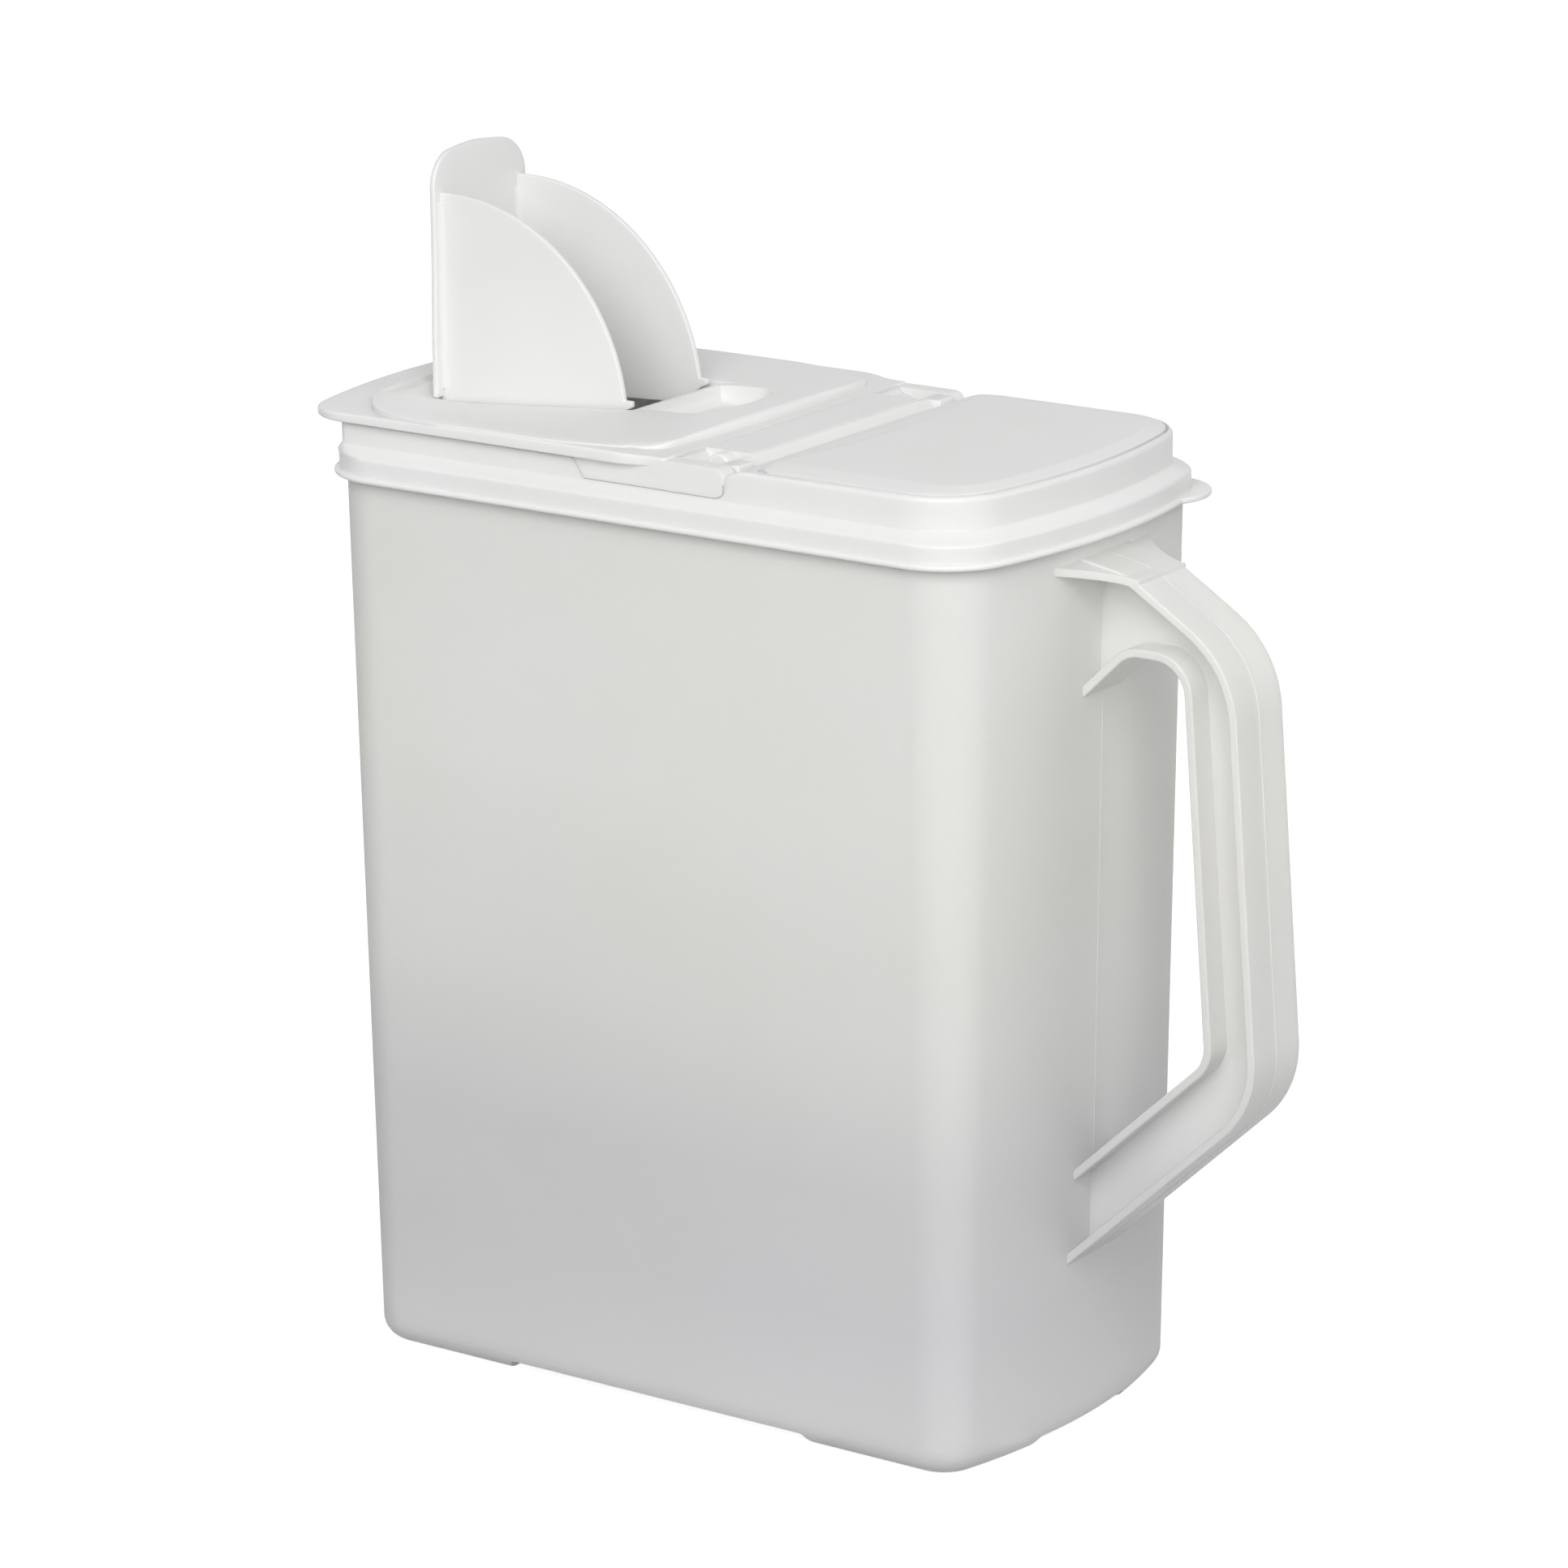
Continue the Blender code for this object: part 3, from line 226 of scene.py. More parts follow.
# ---------------- design: pour spout
SPOUT_HALF = 20.0 * MM
SPOUT_SKIN = 1.8 * MM
SPOUT_PLATE_HALF = 23.6 * MM
SPOUT_RADIUS = 64.7 * MM
SPOUT_FACE_X = -103.9 * MM
SPOUT_TURN = math.radians(85.0)
PLATE_INNER = 0.7 * MM
PLATE_OUTER = 1.1 * MM
PLATE_LIFT = 1.1 * MM
PLATE_TAPER = 0.7 * MM
PLATE_STEPS = 12
SHOULDER_Y = 11.5 * MM
SHOULDER_Z = 355.6 * MM
SHOULDER_RADIUS = 11.4 * MM
TAB_CROWN = 0.9 * MM
CURL = 1.0 * MM
CURL_FROM_Z = 352.0 * MM
CURL_LENGTH = 16.0 * MM
FILLET_RADIUS = 1.8 * MM
TRUNNION_RADIUS = 1.4 * MM
TRUNNION_REACH = 3.6 * MM
BEARING_REACH = 5.3 * MM
BEARING_HALF = 3.2 * MM
TRUNNION_Z = DISH_FLOOR - 2.2 * MM
TRUNNION_X = SPOUT_FACE_X + (DISH_FLOOR + GAP - TRUNNION_Z)
STOP_REACH = 2.2 * MM
STOP_HEIGHT = 1.8 * MM

# ---------------- camera and light, metres and degrees
VIEW_AZIMUTH = 35.01
VIEW_ELEVATION = 15.85
VIEW_ROLL = -0.46
VIEW_DISTANCE = 1.9144
VIEW_RIGHT = 0.00594
VIEW_UP = 0.02748
VIEW_CENTRE_Z = 0.153
LENS = 145.22
SENSOR = 36.0

KEY_AZIMUTH = 29.0
KEY_ELEVATION = 33.0
KEY_DISTANCE = 2.3
KEY_AIM_Z = 0.2
KEY_SIZE = (2.0, 1.7)
KEY_POWER = 43.0
FILL_PLACE = (1.9, 0.75, 0.95)
FILL_AIM_Z = 0.18
FILL_SIZE = (1.4, 1.4)
FILL_POWER = 6.5
WORLD_STRENGTH = 0.33
FLOOR_GREY = 0.48
FLOOR_GLOW = 0.86


# ---------------- outlines
def arc(centre, radius, start, end, steps):
    return [(centre[0] + radius * math.cos(start + (end - start) * i / steps),
             centre[1] + radius * math.sin(start + (end - start) * i / steps))
            for i in range(steps + 1)]


def bowed_end(half_length, half_width, bow, corner, offset=0.0):
    """The right end of an outline: a slight bow between two round corners."""
    bow_radius = (half_width ** 2 + bow ** 2) / (2 * bow)
    bow_x = half_length - bow_radius
    corner_y = half_width - corner
    corner_x = bow_x + math.sqrt((bow_radius - corner) ** 2 - corner_y ** 2)
    turn = math.atan2(corner_y, corner_x - bow_x)
    points = arc((corner_x, -corner_y), corner + offset, -math.pi / 2, -turn, ARC_STEPS)
    points += arc((bow_x, 0.0), bow_radius + offset, -turn, turn, BOW_STEPS)[1:-1]
    points += arc((corner_x, corner_y), corner + offset, turn, math.pi / 2, ARC_STEPS)
    return points


def plan(half_length, half_width, bow, corner, offset=0.0):
    half = bowed_end(half_length, half_width, bow, corner, offset)
    return half + [(-x, -y) for x, y in half]


def tub_plan(z, offset=0.0):
    share = z / RIM_Z
    length = BASE_LENGTH + (TOP_LENGTH - BASE_LENGTH) * share
    width = BASE_WIDTH + (TOP_WIDTH - BASE_WIDTH) * share
    corner = BASE_CORNER + (TOP_CORNER - BASE_CORNER) * share
    return plan(length / 2, width / 2, END_BOW, corner, offset)


def lid_plan(offset):
    return tub_plan(RIM_Z, offset)


def left_part(points, limit):
    """The part of a closed outline on the left of a limit in x."""
    kept = []
    count = len(points)
    for i, point in enumerate(points):
        after = points[(i + 1) % count]
        if point[0] <= limit:
            kept.append(point)
        if (point[0] <= limit) != (after[0] <= limit):
            share = (limit - point[0]) / (after[0] - point[0])
            kept.append((limit, point[1] + (after[1] - point[1]) * share))
    return kept


def right_part(points, limit):
    mirrored = left_part([(-x, y) for x, y in points], -limit)
    return [(-x, y) for x, y in reversed(mirrored)]


def round_corners(corners, steps=ARC_STEPS, closed=True):
    """An outline from corners, each with its own radius."""
    points = []
    count = len(corners)
    for i, (x, y, radius) in enumerate(corners):
        here = Vector((x, y))
        if radius == 0 or (not closed and i in (0, count - 1)):
            points.append((x, y))
            continue
        before = (Vector(corners[i - 1][:2]) - here).normalized()
        after = (Vector(corners[(i + 1) % count][:2]) - here).normalized()
        half = before.angle(after) / 2
        reach = radius / math.tan(half)
        centre = here + (before + after).normalized() * (radius / math.sin(half))
        start = here + before * reach - centre
        swing = start.angle_signed(here + after * reach - centre)
        for step in range(steps + 1):
            turned = Matrix.Rotation(-swing * step / steps, 2) @ start
            points.append(tuple(centre + turned))
    return points


def smooth(value):
    value = min(max(value, 0.0), 1.0)
    return value * value * (3 - 2 * value)


# ---------------- meshes
def new_object(name, bm):
    bmesh.ops.recalc_face_normals(bm, faces=bm.faces)
    mesh = bpy.data.meshes.new(name)
    bm.to_mesh(mesh)
    bm.free()
    obj = bpy.data.objects.new(name, mesh)
    bpy.context.scene.collection.objects.link(obj)
    return obj


def loft(name, rings, closed=False):
    bm = bmesh.new()
    loops = [[bm.verts.new(point) for point in ring] for ring in rings]
    count = len(rings[0])
    pairs = list(zip(loops, loops[1:]))
    if closed:
        pairs.append((loops[-1], loops[0]))
    for low, high in pairs:
        for i in range(count):
            after = (i + 1) % count
            bm.faces.new((low[i], low[after], high[after], high[i]))
    if not closed:
        bm.faces.new(list(reversed(loops[0])))
        bm.faces.new(loops[-1])
    return new_object(name, bm)


def quarter_turn(steps):
    return [math.pi / 2 * i / steps for i in range(steps + 1)]


def round_edge(low, high, soft):
    """Insets and heights of a slab's edge, rounded below and above."""
    turns = quarter_turn(EDGE_STEPS)
    lower = [(soft * (1 - math.sin(a)), low + soft * (1 - math.cos(a))) for a in turns]
    upper = [(soft * (1 - math.cos(a)), high - soft * (1 - math.sin(a))) for a in turns]
    return lower + upper


def level(points, z):
    return [(x, y, z) for x, y in points]


def prism(name, points, low, high):
    return loft(name, [level(points, low), level(points, high)])


def side_prism(name, points, low, high):
    """An outline in the side view, drawn out across the bin."""
    return loft(name, [[(x, y, z) for x, z in points] for y in (low, high)])


def box(name, x, y, z):
    return prism(name, [(x[0], y[0]), (x[1], y[0]), (x[1], y[1]), (x[0], y[1])], *z)


def rod(name, radius, x, z, y):
    """A round bar across the bin, between two y positions."""
    bm = bmesh.new()
    bmesh.ops.create_cone(bm, cap_ends=True, segments=ROD_SEGMENTS, radius1=radius,
                          radius2=radius, depth=abs(y[1] - y[0]))
    place = Matrix.Translation((x, (y[0] + y[1]) / 2, z)) @ Matrix.Rotation(math.pi / 2, 4, "X")
    bm.transform(place)
    return new_object(name, bm)


def height_solid(name, xs, ys, low, high):
    """A solid between two surfaces, each given as a function of x and y."""
    bm = bmesh.new()
    sheets = [[[bm.verts.new((x, y, surface(x, y))) for y in ys] for x in xs]
              for surface in (low, high)]
    for i in range(len(xs) - 1):
        for j in range(len(ys) - 1):
            for sheet in sheets:
                bm.faces.new((sheet[i][j], sheet[i + 1][j], sheet[i + 1][j + 1], sheet[i][j + 1]))
    edge = [(i, 0) for i in range(len(xs))]
    edge += [(len(xs) - 1, j) for j in range(1, len(ys))]
    edge += [(i, len(ys) - 1) for i in range(len(xs) - 2, -1, -1)]
    edge += [(0, j) for j in range(len(ys) - 2, 0, -1)]
    for (i, j), (k, m) in zip(edge, edge[1:] + edge[:1]):
        bm.faces.new((sheets[0][i][j], sheets[0][k][m], sheets[1][k][m], sheets[1][i][j]))
    bmesh.ops.triangulate(bm, faces=bm.faces)
    return new_object(name, bm)


def bake_modifiers(obj):
    bpy.context.view_layer.update()
    graph = bpy.context.evaluated_depsgraph_get()
    result = bpy.data.meshes.new_from_object(obj.evaluated_get(graph))
    obj.modifiers.clear()
    obj.data = result
    return obj


def combine(target, operation, *tools):
    for tool in tools:
        modifier = target.modifiers.new("join", "BOOLEAN")
        modifier.operation = operation
        modifier.solver = "EXACT"
        modifier.object = tool
        bake_modifiers(target)
        bpy.data.objects.remove(tool, do_unlink=True)
    return target


def add(target, *tools):
    return combine(target, "UNION", *tools)


def cut(target, *tools):
    return combine(target, "DIFFERENCE", *tools)


def soften(obj, width, segments=3):
    """Round the edges of a plain solid."""
    modifier = obj.modifiers.new("soft", "BEVEL")
    modifier.width = width
    modifier.segments = segments
    modifier.limit_method = "ANGLE"
    modifier.angle_limit = BEVEL_ANGLE
    modifier.use_clamp_overlap = True
    return bake_modifiers(obj)


def span(side, near, far):
    """From near to far on one side of the middle, the lower value first."""
    return sorted((side * near, side * far))


def both_sides(make):
    return [make(side) for side in (-1, 1)]


def moved_line(line, distance):
    """The same line, moved sideways, in reverse order."""
    moved = []
    for i, point in enumerate(line):
        before = Vector(line[max(i - 1, 0)])
        after = Vector(line[min(i + 1, len(line) - 1)])
        along = (after - before).normalized()
        moved.append((point[0] - along.y * distance, point[1] + along.x * distance))
    return moved[::-1]


def thickened(line, thickness):
    return line + moved_line(line, thickness)


def finish_piece(obj, name, material, body, node):
    """Clean a piece, shade it, and hand it to the frame."""
    obj.name = name
    obj.data.name = name
    bm = bmesh.new()
    bm.from_mesh(obj.data)
    bmesh.ops.remove_doubles(bm, verts=bm.verts, dist=WELD)
    bmesh.ops.dissolve_degenerate(bm, edges=bm.edges, dist=WELD)
    bm.transform(TO_WORLD)
    bm.to_mesh(obj.data)
    bm.free()
    obj.data.materials.clear()
    obj.data.materials.append(material)
    obj.data.shade_smooth()
    obj.data.set_sharp_from_angle(angle=SHARP_ANGLE)
    normals = obj.modifiers.new("normals", "WEIGHTED_NORMAL")
    normals.keep_sharp = True
    bake_modifiers(obj)
    obj.data.name = name
    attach(obj, body)
    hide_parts(node)
    return obj


# ---------------- materials
def principled(name):
    material = bpy.data.materials.new(name)
    material.use_nodes = True
    tree = material.node_tree
    return material, tree, tree.nodes["Principled BSDF"]


def noise(tree, scale, detail):
    coordinates = tree.nodes.new("ShaderNodeTexCoord")
    texture = tree.nodes.new("ShaderNodeTexNoise")
    texture.inputs["Scale"].default_value = scale
    texture.inputs["Detail"].default_value = detail
    texture.inputs["Roughness"].default_value = 0.5
    tree.links.new(coordinates.outputs["Object"], texture.inputs["Vector"])
    return texture.outputs["Fac"]


def ramp(tree, source, *stops):
    node = tree.nodes.new("ShaderNodeValToRGB")
    elements = node.color_ramp.elements
    while len(elements) < len(stops):
        elements.new(0.5)
    for element, (position, colour) in zip(elements, stops):
        element.position = position
        element.color = (*colour, 1.0)
    tree.links.new(source, node.inputs["Fac"])
    return node.outputs["Color"]


def moulded_grain(tree, shader, scale, smoothest, roughest, strength):
    """Fine grain in the gloss and the relief."""
    grain = noise(tree, scale, 2.0)
    roughness = ramp(tree, grain, (0.3, (smoothest,) * 3), (0.7, (roughest,) * 3))
    tree.links.new(roughness, shader.inputs["Roughness"])
    bump = tree.nodes.new("ShaderNodeBump")
    bump.inputs["Strength"].default_value = strength
    bump.inputs["Distance"].default_value = 0.0001
    tree.links.new(grain, bump.inputs["Height"])
    tree.links.new(bump.outputs["Normal"], shader.inputs["Normal"])


def white_plastic():
    """Satin white polypropylene: faint flow clouds, fine moulded grain."""
    material, tree, shader = principled("white_polypropylene_look")
    colour = ramp(tree, noise(tree, 14.0, 3.0), (0.3, (0.83, 0.835, 0.815)), (0.7, (0.86, 0.86, 0.85)))
    tree.links.new(colour, shader.inputs["Base Color"])
    moulded_grain(tree, shader, 900.0, 0.34, 0.42, 0.05)
    shader.inputs["IOR"].default_value = 1.49
    shader.inputs["Specular IOR Level"].default_value = 0.4
    shader.inputs["Subsurface Weight"].default_value = 0.6
    shader.inputs["Subsurface Radius"].default_value = (1.0, 1.0, 1.0)
    shader.inputs["Subsurface Scale"].default_value = 0.0025
    return material


def frosted_plastic():
    """Natural polypropylene: milky, lets soft light through; painted shade makes it greyer low down."""
    material, tree, shader = principled("natural_polypropylene_with_painted_shade")
    colour = ramp(tree, noise(tree, 9.0, 3.0), (0.3, (0.92, 0.915, 0.885)), (0.7, (0.94, 0.94, 0.92)))
    # Painted shade: the colour is multiplied darker and bluish-grey towards the tub's bottom, in place of
    # shade from inside and below.
    place = tree.nodes.new("ShaderNodeTexCoord")
    split = tree.nodes.new("ShaderNodeSeparateXYZ")
    tree.links.new(place.outputs["Object"], split.inputs[0])
    height = tree.nodes.new("ShaderNodeMapRange")
    height.inputs["From Max"].default_value = RIM_Z
    tree.links.new(split.outputs["Z"], height.inputs["Value"])
    depth = ramp(tree, height.outputs[0], (0.05, (0.91, 0.91, 0.94)), (0.16, (0.86, 0.86, 0.895)),
                 (0.30, (0.86, 0.86, 0.89)), (0.48, (0.96, 0.96, 0.965)), (0.72, (1.0, 1.0, 1.0)))
    blend = tree.nodes.new("ShaderNodeMix")
    blend.data_type = "RGBA"
    blend.blend_type = "MULTIPLY"
    blend.inputs["Factor"].default_value = 1.0
    tree.links.new(colour, blend.inputs["A"])
    tree.links.new(depth, blend.inputs["B"])
    tree.links.new(blend.outputs["Result"], shader.inputs["Base Color"])
    moulded_grain(tree, shader, 700.0, 0.40, 0.50, 0.06)
    shader.inputs["IOR"].default_value = 1.2
    shader.inputs["Specular IOR Level"].default_value = 0.5
    shader.inputs["Transmission Weight"].default_value = 0.28
    return material


WHITE = white_plastic()
FROSTED = frosted_plastic()


# ---------------- tub and handle
def bottom_inset(z, radius):
    """How far the wall has turned in at a height above a rounded bottom."""
    if z >= radius:
        return 0.0
    return radius - math.sqrt(radius ** 2 - (radius - z) ** 2)


def tub_shell():
    """Up the outside from the floor, over the rim, and down the inside."""
    bottom = [BOTTOM_ROUND * (1 - math.cos(turn)) for turn in quarter_turn(BOTTOM_STEPS)]
    walls = [RIM_Z * i / WALL_STEPS for i in range(1, WALL_STEPS + 1)]
    rings = [level(tub_plan(z, -bottom_inset(z, BOTTOM_ROUND)), z) for z in bottom + walls]
    rings += [level(tub_plan(RIM_TOP, offset), RIM_TOP) for offset in (0.0, -WALL)]
    rings += [level(tub_plan(z, -WALL), z) for z in reversed(walls)]
    inner_floor = FOOT_HEIGHT + FLOOR
    inner_round = BOTTOM_ROUND - WALL
    for turn in reversed(quarter_turn(WALL_STEPS)):
        rise = inner_round * (1 - math.cos(turn))
        z = inner_floor + rise
        rings.append(level(tub_plan(z, -WALL - bottom_inset(rise, inner_round)), z))
    return loft("tub", rings)


def foot_gap(gap, across):
    """A channel under the tub with softly sloped ends, along it or across it."""
    half = gap / 2
    end = half + FOOT_HEIGHT * 0.7
    corners = [(-end - 2.0 * MM, -1.0 * MM, 0), (-end, -0.01 * MM, 1.2 * MM),
               (-half, FOOT_HEIGHT, 2.0 * MM), (half, FOOT_HEIGHT, 2.0 * MM),
               (end, -0.01 * MM, 1.2 * MM), (end + 2.0 * MM, -1.0 * MM, 0)]
    outline = round_corners(corners, 5)
    rings = [[(far, a, z) if across else (a, far, z) for a, z in outline]
             for far in (-BASE_LENGTH, BASE_LENGTH)]
    return loft("foot_gap", rings)


def grip_line(z):
    """How far out the grip's outer face is at a height."""
    return BASE_LENGTH / 2 + GRIP_OUT - GRIP_LEAN * (z - GRIP_FROM_Z)


def handle_lines():
    """Side view of the handle's outer and inner faces, from the upper root to the lower."""
    wall_top = TOP_LENGTH / 2 - 4.0 * MM
    wall_low = BASE_LENGTH / 2 - 3.0 * MM
    low_z = 115.1 * MM
    high_z = 245.4 * MM
    outer = [(wall_top, 271.0 * MM, 0), (wall_top + 19.0 * MM, 267.6 * MM, 24.0 * MM),
             (grip_line(high_z), high_z, 33.0 * MM), (grip_line(low_z), low_z, 31.0 * MM),
             (wall_low, 52.0 * MM, 0)]
    inner_low_z = 125.6 * MM
    inner_high_z = 243.0 * MM
    inner = [(wall_top, 225.6 * MM, 0), (134.5 * MM, 242.9 * MM, 9.0 * MM),
             (grip_line(inner_high_z) - HANDLE_DEPTH, inner_high_z, 10.0 * MM),
             (grip_line(inner_low_z) - HANDLE_DEPTH, inner_low_z, 10.0 * MM), (wall_low, 80.6 * MM, 0)]
    return round_corners(outer, closed=False), round_corners(inner, closed=False)


def handle_shelf():
    """The handle's top face, spread out where it meets the wall."""
    wall_x = TOP_LENGTH / 2 - 6.0 * MM
    side = []
    for i in range(ARC_STEPS + 1):
        share = i / ARC_STEPS
        spread = SHELF_SPREAD * (1 - math.sin(math.pi / 2 * share))
        side.append((wall_x + SHELF_LENGTH * share, HANDLE_HALF + spread - 0.02 * MM))
    points = [(x, -y) for x, y in side] + side[::-1]
    rings = [[(x, y, SHELF_Z - (x - wall_x) * SHELF_FALL - drop) for x, y in points]
             for drop in (HANDLE_FLANGE, 0.05 * MM)]
    return soften(loft("shelf", rings), 0.5 * MM, 2)


def end_line():
    """The fine parting line up the end wall."""
    ends = [(tub_plan(z)[ARC_STEPS + BOW_STEPS // 2][0], z) for z in (SEAM_LOW_Z, SEAM_HIGH_Z)]
    seam = [(x + SEAM_RISE, z) for x, z in ends] + [(x - 0.6 * MM, z) for x, z in reversed(ends)]
    return side_prism("end_line", seam, -SEAM_HALF, SEAM_HALF)


def handle_solid():
    """An I-beam: outer flange, inner flange and the web between them."""
    outer, inner = handle_lines()
    handle = side_prism("handle", thickened(outer, -HANDLE_FLANGE), -HANDLE_HALF, HANDLE_HALF)
    flange = side_prism("inner", thickened(inner, HANDLE_FLANGE), -INNER_HALF, INNER_HALF)
    soften(handle, HANDLE_SOFT)
    soften(flange, HANDLE_SOFT)
    web_line = moved_line(outer, -HANDLE_FLANGE / 2) + moved_line(inner, HANDLE_FLANGE / 2)[::-1]
    web = side_prism("web", web_line, -WEB_HALF, WEB_HALF)
    parting = side_prism("parting", outer + moved_line(outer, PARTING_RISE), -PARTING_HALF, PARTING_HALF)
    add(handle, flange, web, handle_shelf(), parting)
    cut(handle, loft("inside", [level(tub_plan(z, -WALL / 2), z) for z in (40.0 * MM, RIM_Z)]))
    return add(handle, end_line())


def make_tub():
    tub = tub_shell()
    cut(tub, foot_gap(FOOT_GAP_LENGTH, False), foot_gap(FOOT_GAP_WIDTH, True))
    add(tub, handle_solid())
    return finish_piece(tub, "tub_with_handle", FROSTED, "tub", "bin_body")


# ---------------- lid base
def upper_plan(offset):
    """The upper tier: tighter corners at the pouring end, rounder ones at the handle."""
    right = bowed_end(TOP_LENGTH / 2, TOP_WIDTH / 2, END_BOW, RIGHT_CORNER, offset)
    left = bowed_end(TOP_LENGTH / 2, TOP_WIDTH / 2, END_BOW, LEFT_CORNER, offset)
    return right + [(-x, -y) for x, y in left]


def mixed_plan(offset, share):
    """Between the lower tier's outline (0) and the upper tier's (1)."""
    low, high = lid_plan(offset), upper_plan(offset)
    return [(a[0] + (b[0] - a[0]) * share, a[1] + (b[1] - a[1]) * share) for a, b in zip(low, high)]


def tier_solid():
    """Flange, lower tier, ledge and upper tier in one rounded profile."""
    corners = [(-2.0 * MM, RIM_Z, 0), (FLANGE_OUT, RIM_Z, 0.85 * MM),
               (FLANGE_OUT, FLANGE_TOP, 0.85 * MM), (TIER_OUT, FLANGE_TOP, 0.35 * MM),
               (TIER_OUT, TIER_TOP, 1.5 * MM), (-STEP_IN, LEDGE_TOP, 0.7 * MM),
               (-STEP_IN, BLOCK_TOP, SHOULDER_SOFT), (-6.0 * MM, BLOCK_TOP, 0)]
    profile = round_corners(corners, 7, closed=False)
    rings = []
    for offset, z in profile:
        share = (z - TIER_TOP + 1.0 * MM) / (LEDGE_TOP - TIER_TOP + 1.0 * MM)
        rings.append(level(mixed_plan(offset, smooth(share)), z))
    return loft("tiers", rings)


def pad_outline(inset, left, corner, end_shift=0.0):
    """The fixed pad: bowed at the handle end, hollowed towards the hinge bar."""
    half = TOP_WIDTH / 2 - inset
    right = bowed_end(TOP_LENGTH / 2 + end_shift, TOP_WIDTH / 2, END_BOW, RIGHT_CORNER, -inset)
    edge = []
    for i in range(BOW_STEPS + 1):
        y = (half - corner) * (1 - 2 * i / BOW_STEPS)
        edge.append((left + PAD_HOLLOW * (1 - (y / half) ** 2), y))
    start = edge[0][0] + corner
    top = arc((start, half - corner), corner, math.pi / 2, math.pi, 8)[:-1]
    end = arc((start, -half + corner), corner, math.pi, 1.5 * math.pi, 8)[1:]
    return right + top + edge + end


def fixed_pad():
    """Step at the foot, sloped border, crisp turn, flat top."""
    start = pad_outline(PAD_CREASE, PAD_LEFT - PAD_FOOT_OUT, PAD_CORNER)
    rings = [level(start, TROUGH_Z - 0.5 * MM), level(start, BLOCK_TOP + 0.2 * MM)]
    for share, rise, shift in PAD_BORDER:
        outline = pad_outline(PAD_CREASE + PAD_SLOPE * share, PAD_LEFT - shift * MM,
                              PAD_CORNER + share * MM, PAD_END_SHIFT * share)
        rings.append(level(outline, BLOCK_TOP + rise * MM))
    top = pad_outline(PAD_CREASE + PAD_SLOPE + 0.5 * MM, PAD_LEFT + 0.3 * MM, PAD_CORNER + 0.6 * MM,
                      PAD_END_SHIFT)
    return loft("fixed_pad", rings + [level(top, PAD_TOP)])


def deck_opening(inset):
    """The mouth in the left deck: follows the tub's end, square across at the hinge side."""
    right = MOUTH_RIGHT - inset
    full = TOP_WIDTH / 2 - STEP_IN - RING_WIDTH
    half = full - inset
    corner = 7.0 * MM
    bow = END_BOW * (2 * full / TOP_WIDTH) ** 2
    end = bowed_end(TOP_LENGTH / 2 - STEP_IN - END_RING, full, bow, MOUTH_CORNER, -inset)
    right_half = arc((right - corner, -half + corner), corner, -math.pi / 2, 0.0, ARC_STEPS)
    right_half += arc((right - corner, half - corner), corner, 0.0, math.pi / 2, ARC_STEPS)
    return [(-x, -y) for x, y in end] + right_half


def trough():
    """The falling strip between the pad and the bar, over the whole width."""
    top = BLOCK_TOP + OVER
    points = TROUGH_LINE + [(TROUGH_LINE[-1][0], top), (TROUGH_LINE[0][0], top)]
    return side_prism("trough", points, -TOP_WIDTH, TOP_WIDTH)


def arm_underside(grow):
    """Lower edge of a hinge arm, from under the flip lid's rim to its rounded end."""
    low = ARM_Z - ARM_RADIUS - grow
    skirt = ARM_SKIRT_Z - grow
    side_gap = grow * 0.5
    return [(-23.0 * MM - side_gap, FLIP_UNDER + 0.9 * MM), (-22.4 * MM - side_gap, TROUGH_Z),
            (-19.0 * MM - side_gap, skirt), (8.0 * MM, skirt), (14.0 * MM, low)]


def arm_turn(side, grow, top):
    """What lies outside the arm's rounded upright corner."""
    edge = ARM_X + ARM_RADIUS
    centre = (edge - ARM_TURN, side * (ARM_OUTER - ARM_TURN))
    far = ARM_OUTER + 7.0 * MM
    outline = arc(centre, ARM_TURN + grow, 0.0, side * math.pi / 2, 10)
    outline += [(centre[0] - 0.2 * MM, side * far), (edge + 8.0 * MM, side * far),
                (edge + 8.0 * MM, centre[1] - side * 0.2 * MM)]
    return prism("turn", outline, ARM_Z - 9.0 * MM, top)


def arm_notch(side):
    """Room for one hinge arm in the side wall, with a slope up to the pad."""
    top = BLOCK_TOP + OVER
    points = arm_underside(ARM_CLEAR)
    points += arc((ARM_X, ARM_Z), ARM_RADIUS + ARM_CLEAR, -math.pi / 2, 0.35, 12)
    points += [(32.6 * MM, 293.4 * MM), (35.6 * MM, 294.6 * MM), (41.0 * MM, BLOCK_TOP + 0.1 * MM),
               (41.0 * MM, top), (points[0][0], top)]
    y = span(side, ARM_INNER - 0.35 * MM, TOP_WIDTH / 2 + 4.0 * MM)
    return cut(side_prism("notch", points, *y), arm_turn(side, ARM_CLEAR, TROUGH_Z))


def hinge_pocket(side):
    """Space between the bar's end and the arm, its left wall sloped."""
    y = span(side, POCKET_START, TOP_WIDTH / 2 - STEP_IN + 1.0 * MM)
    top = BLOCK_TOP + OVER
    points = [(BAR_LEFT, top), (BAR_LEFT, BAR_TOP - 0.4 * MM), (BAR_LEFT + POCKET_SLOPE, POCKET_Z),
              (POCKET_RIGHT, POCKET_Z), (POCKET_RIGHT, top)]
    return side_prism("pocket", points, *y)


def pocket_walls(side):
    """Floor and walls round the pocket, before it is cut."""
    y = span(side, POCKET_START - LID_WALL, TOP_WIDTH / 2 - STEP_IN - LID_WALL)
    return box("pocket_walls", (BAR_LEFT - LID_WALL, POCKET_RIGHT + LID_WALL), y,
               (POCKET_Z - LID_WALL, TROUGH_Z - 0.1 * MM))


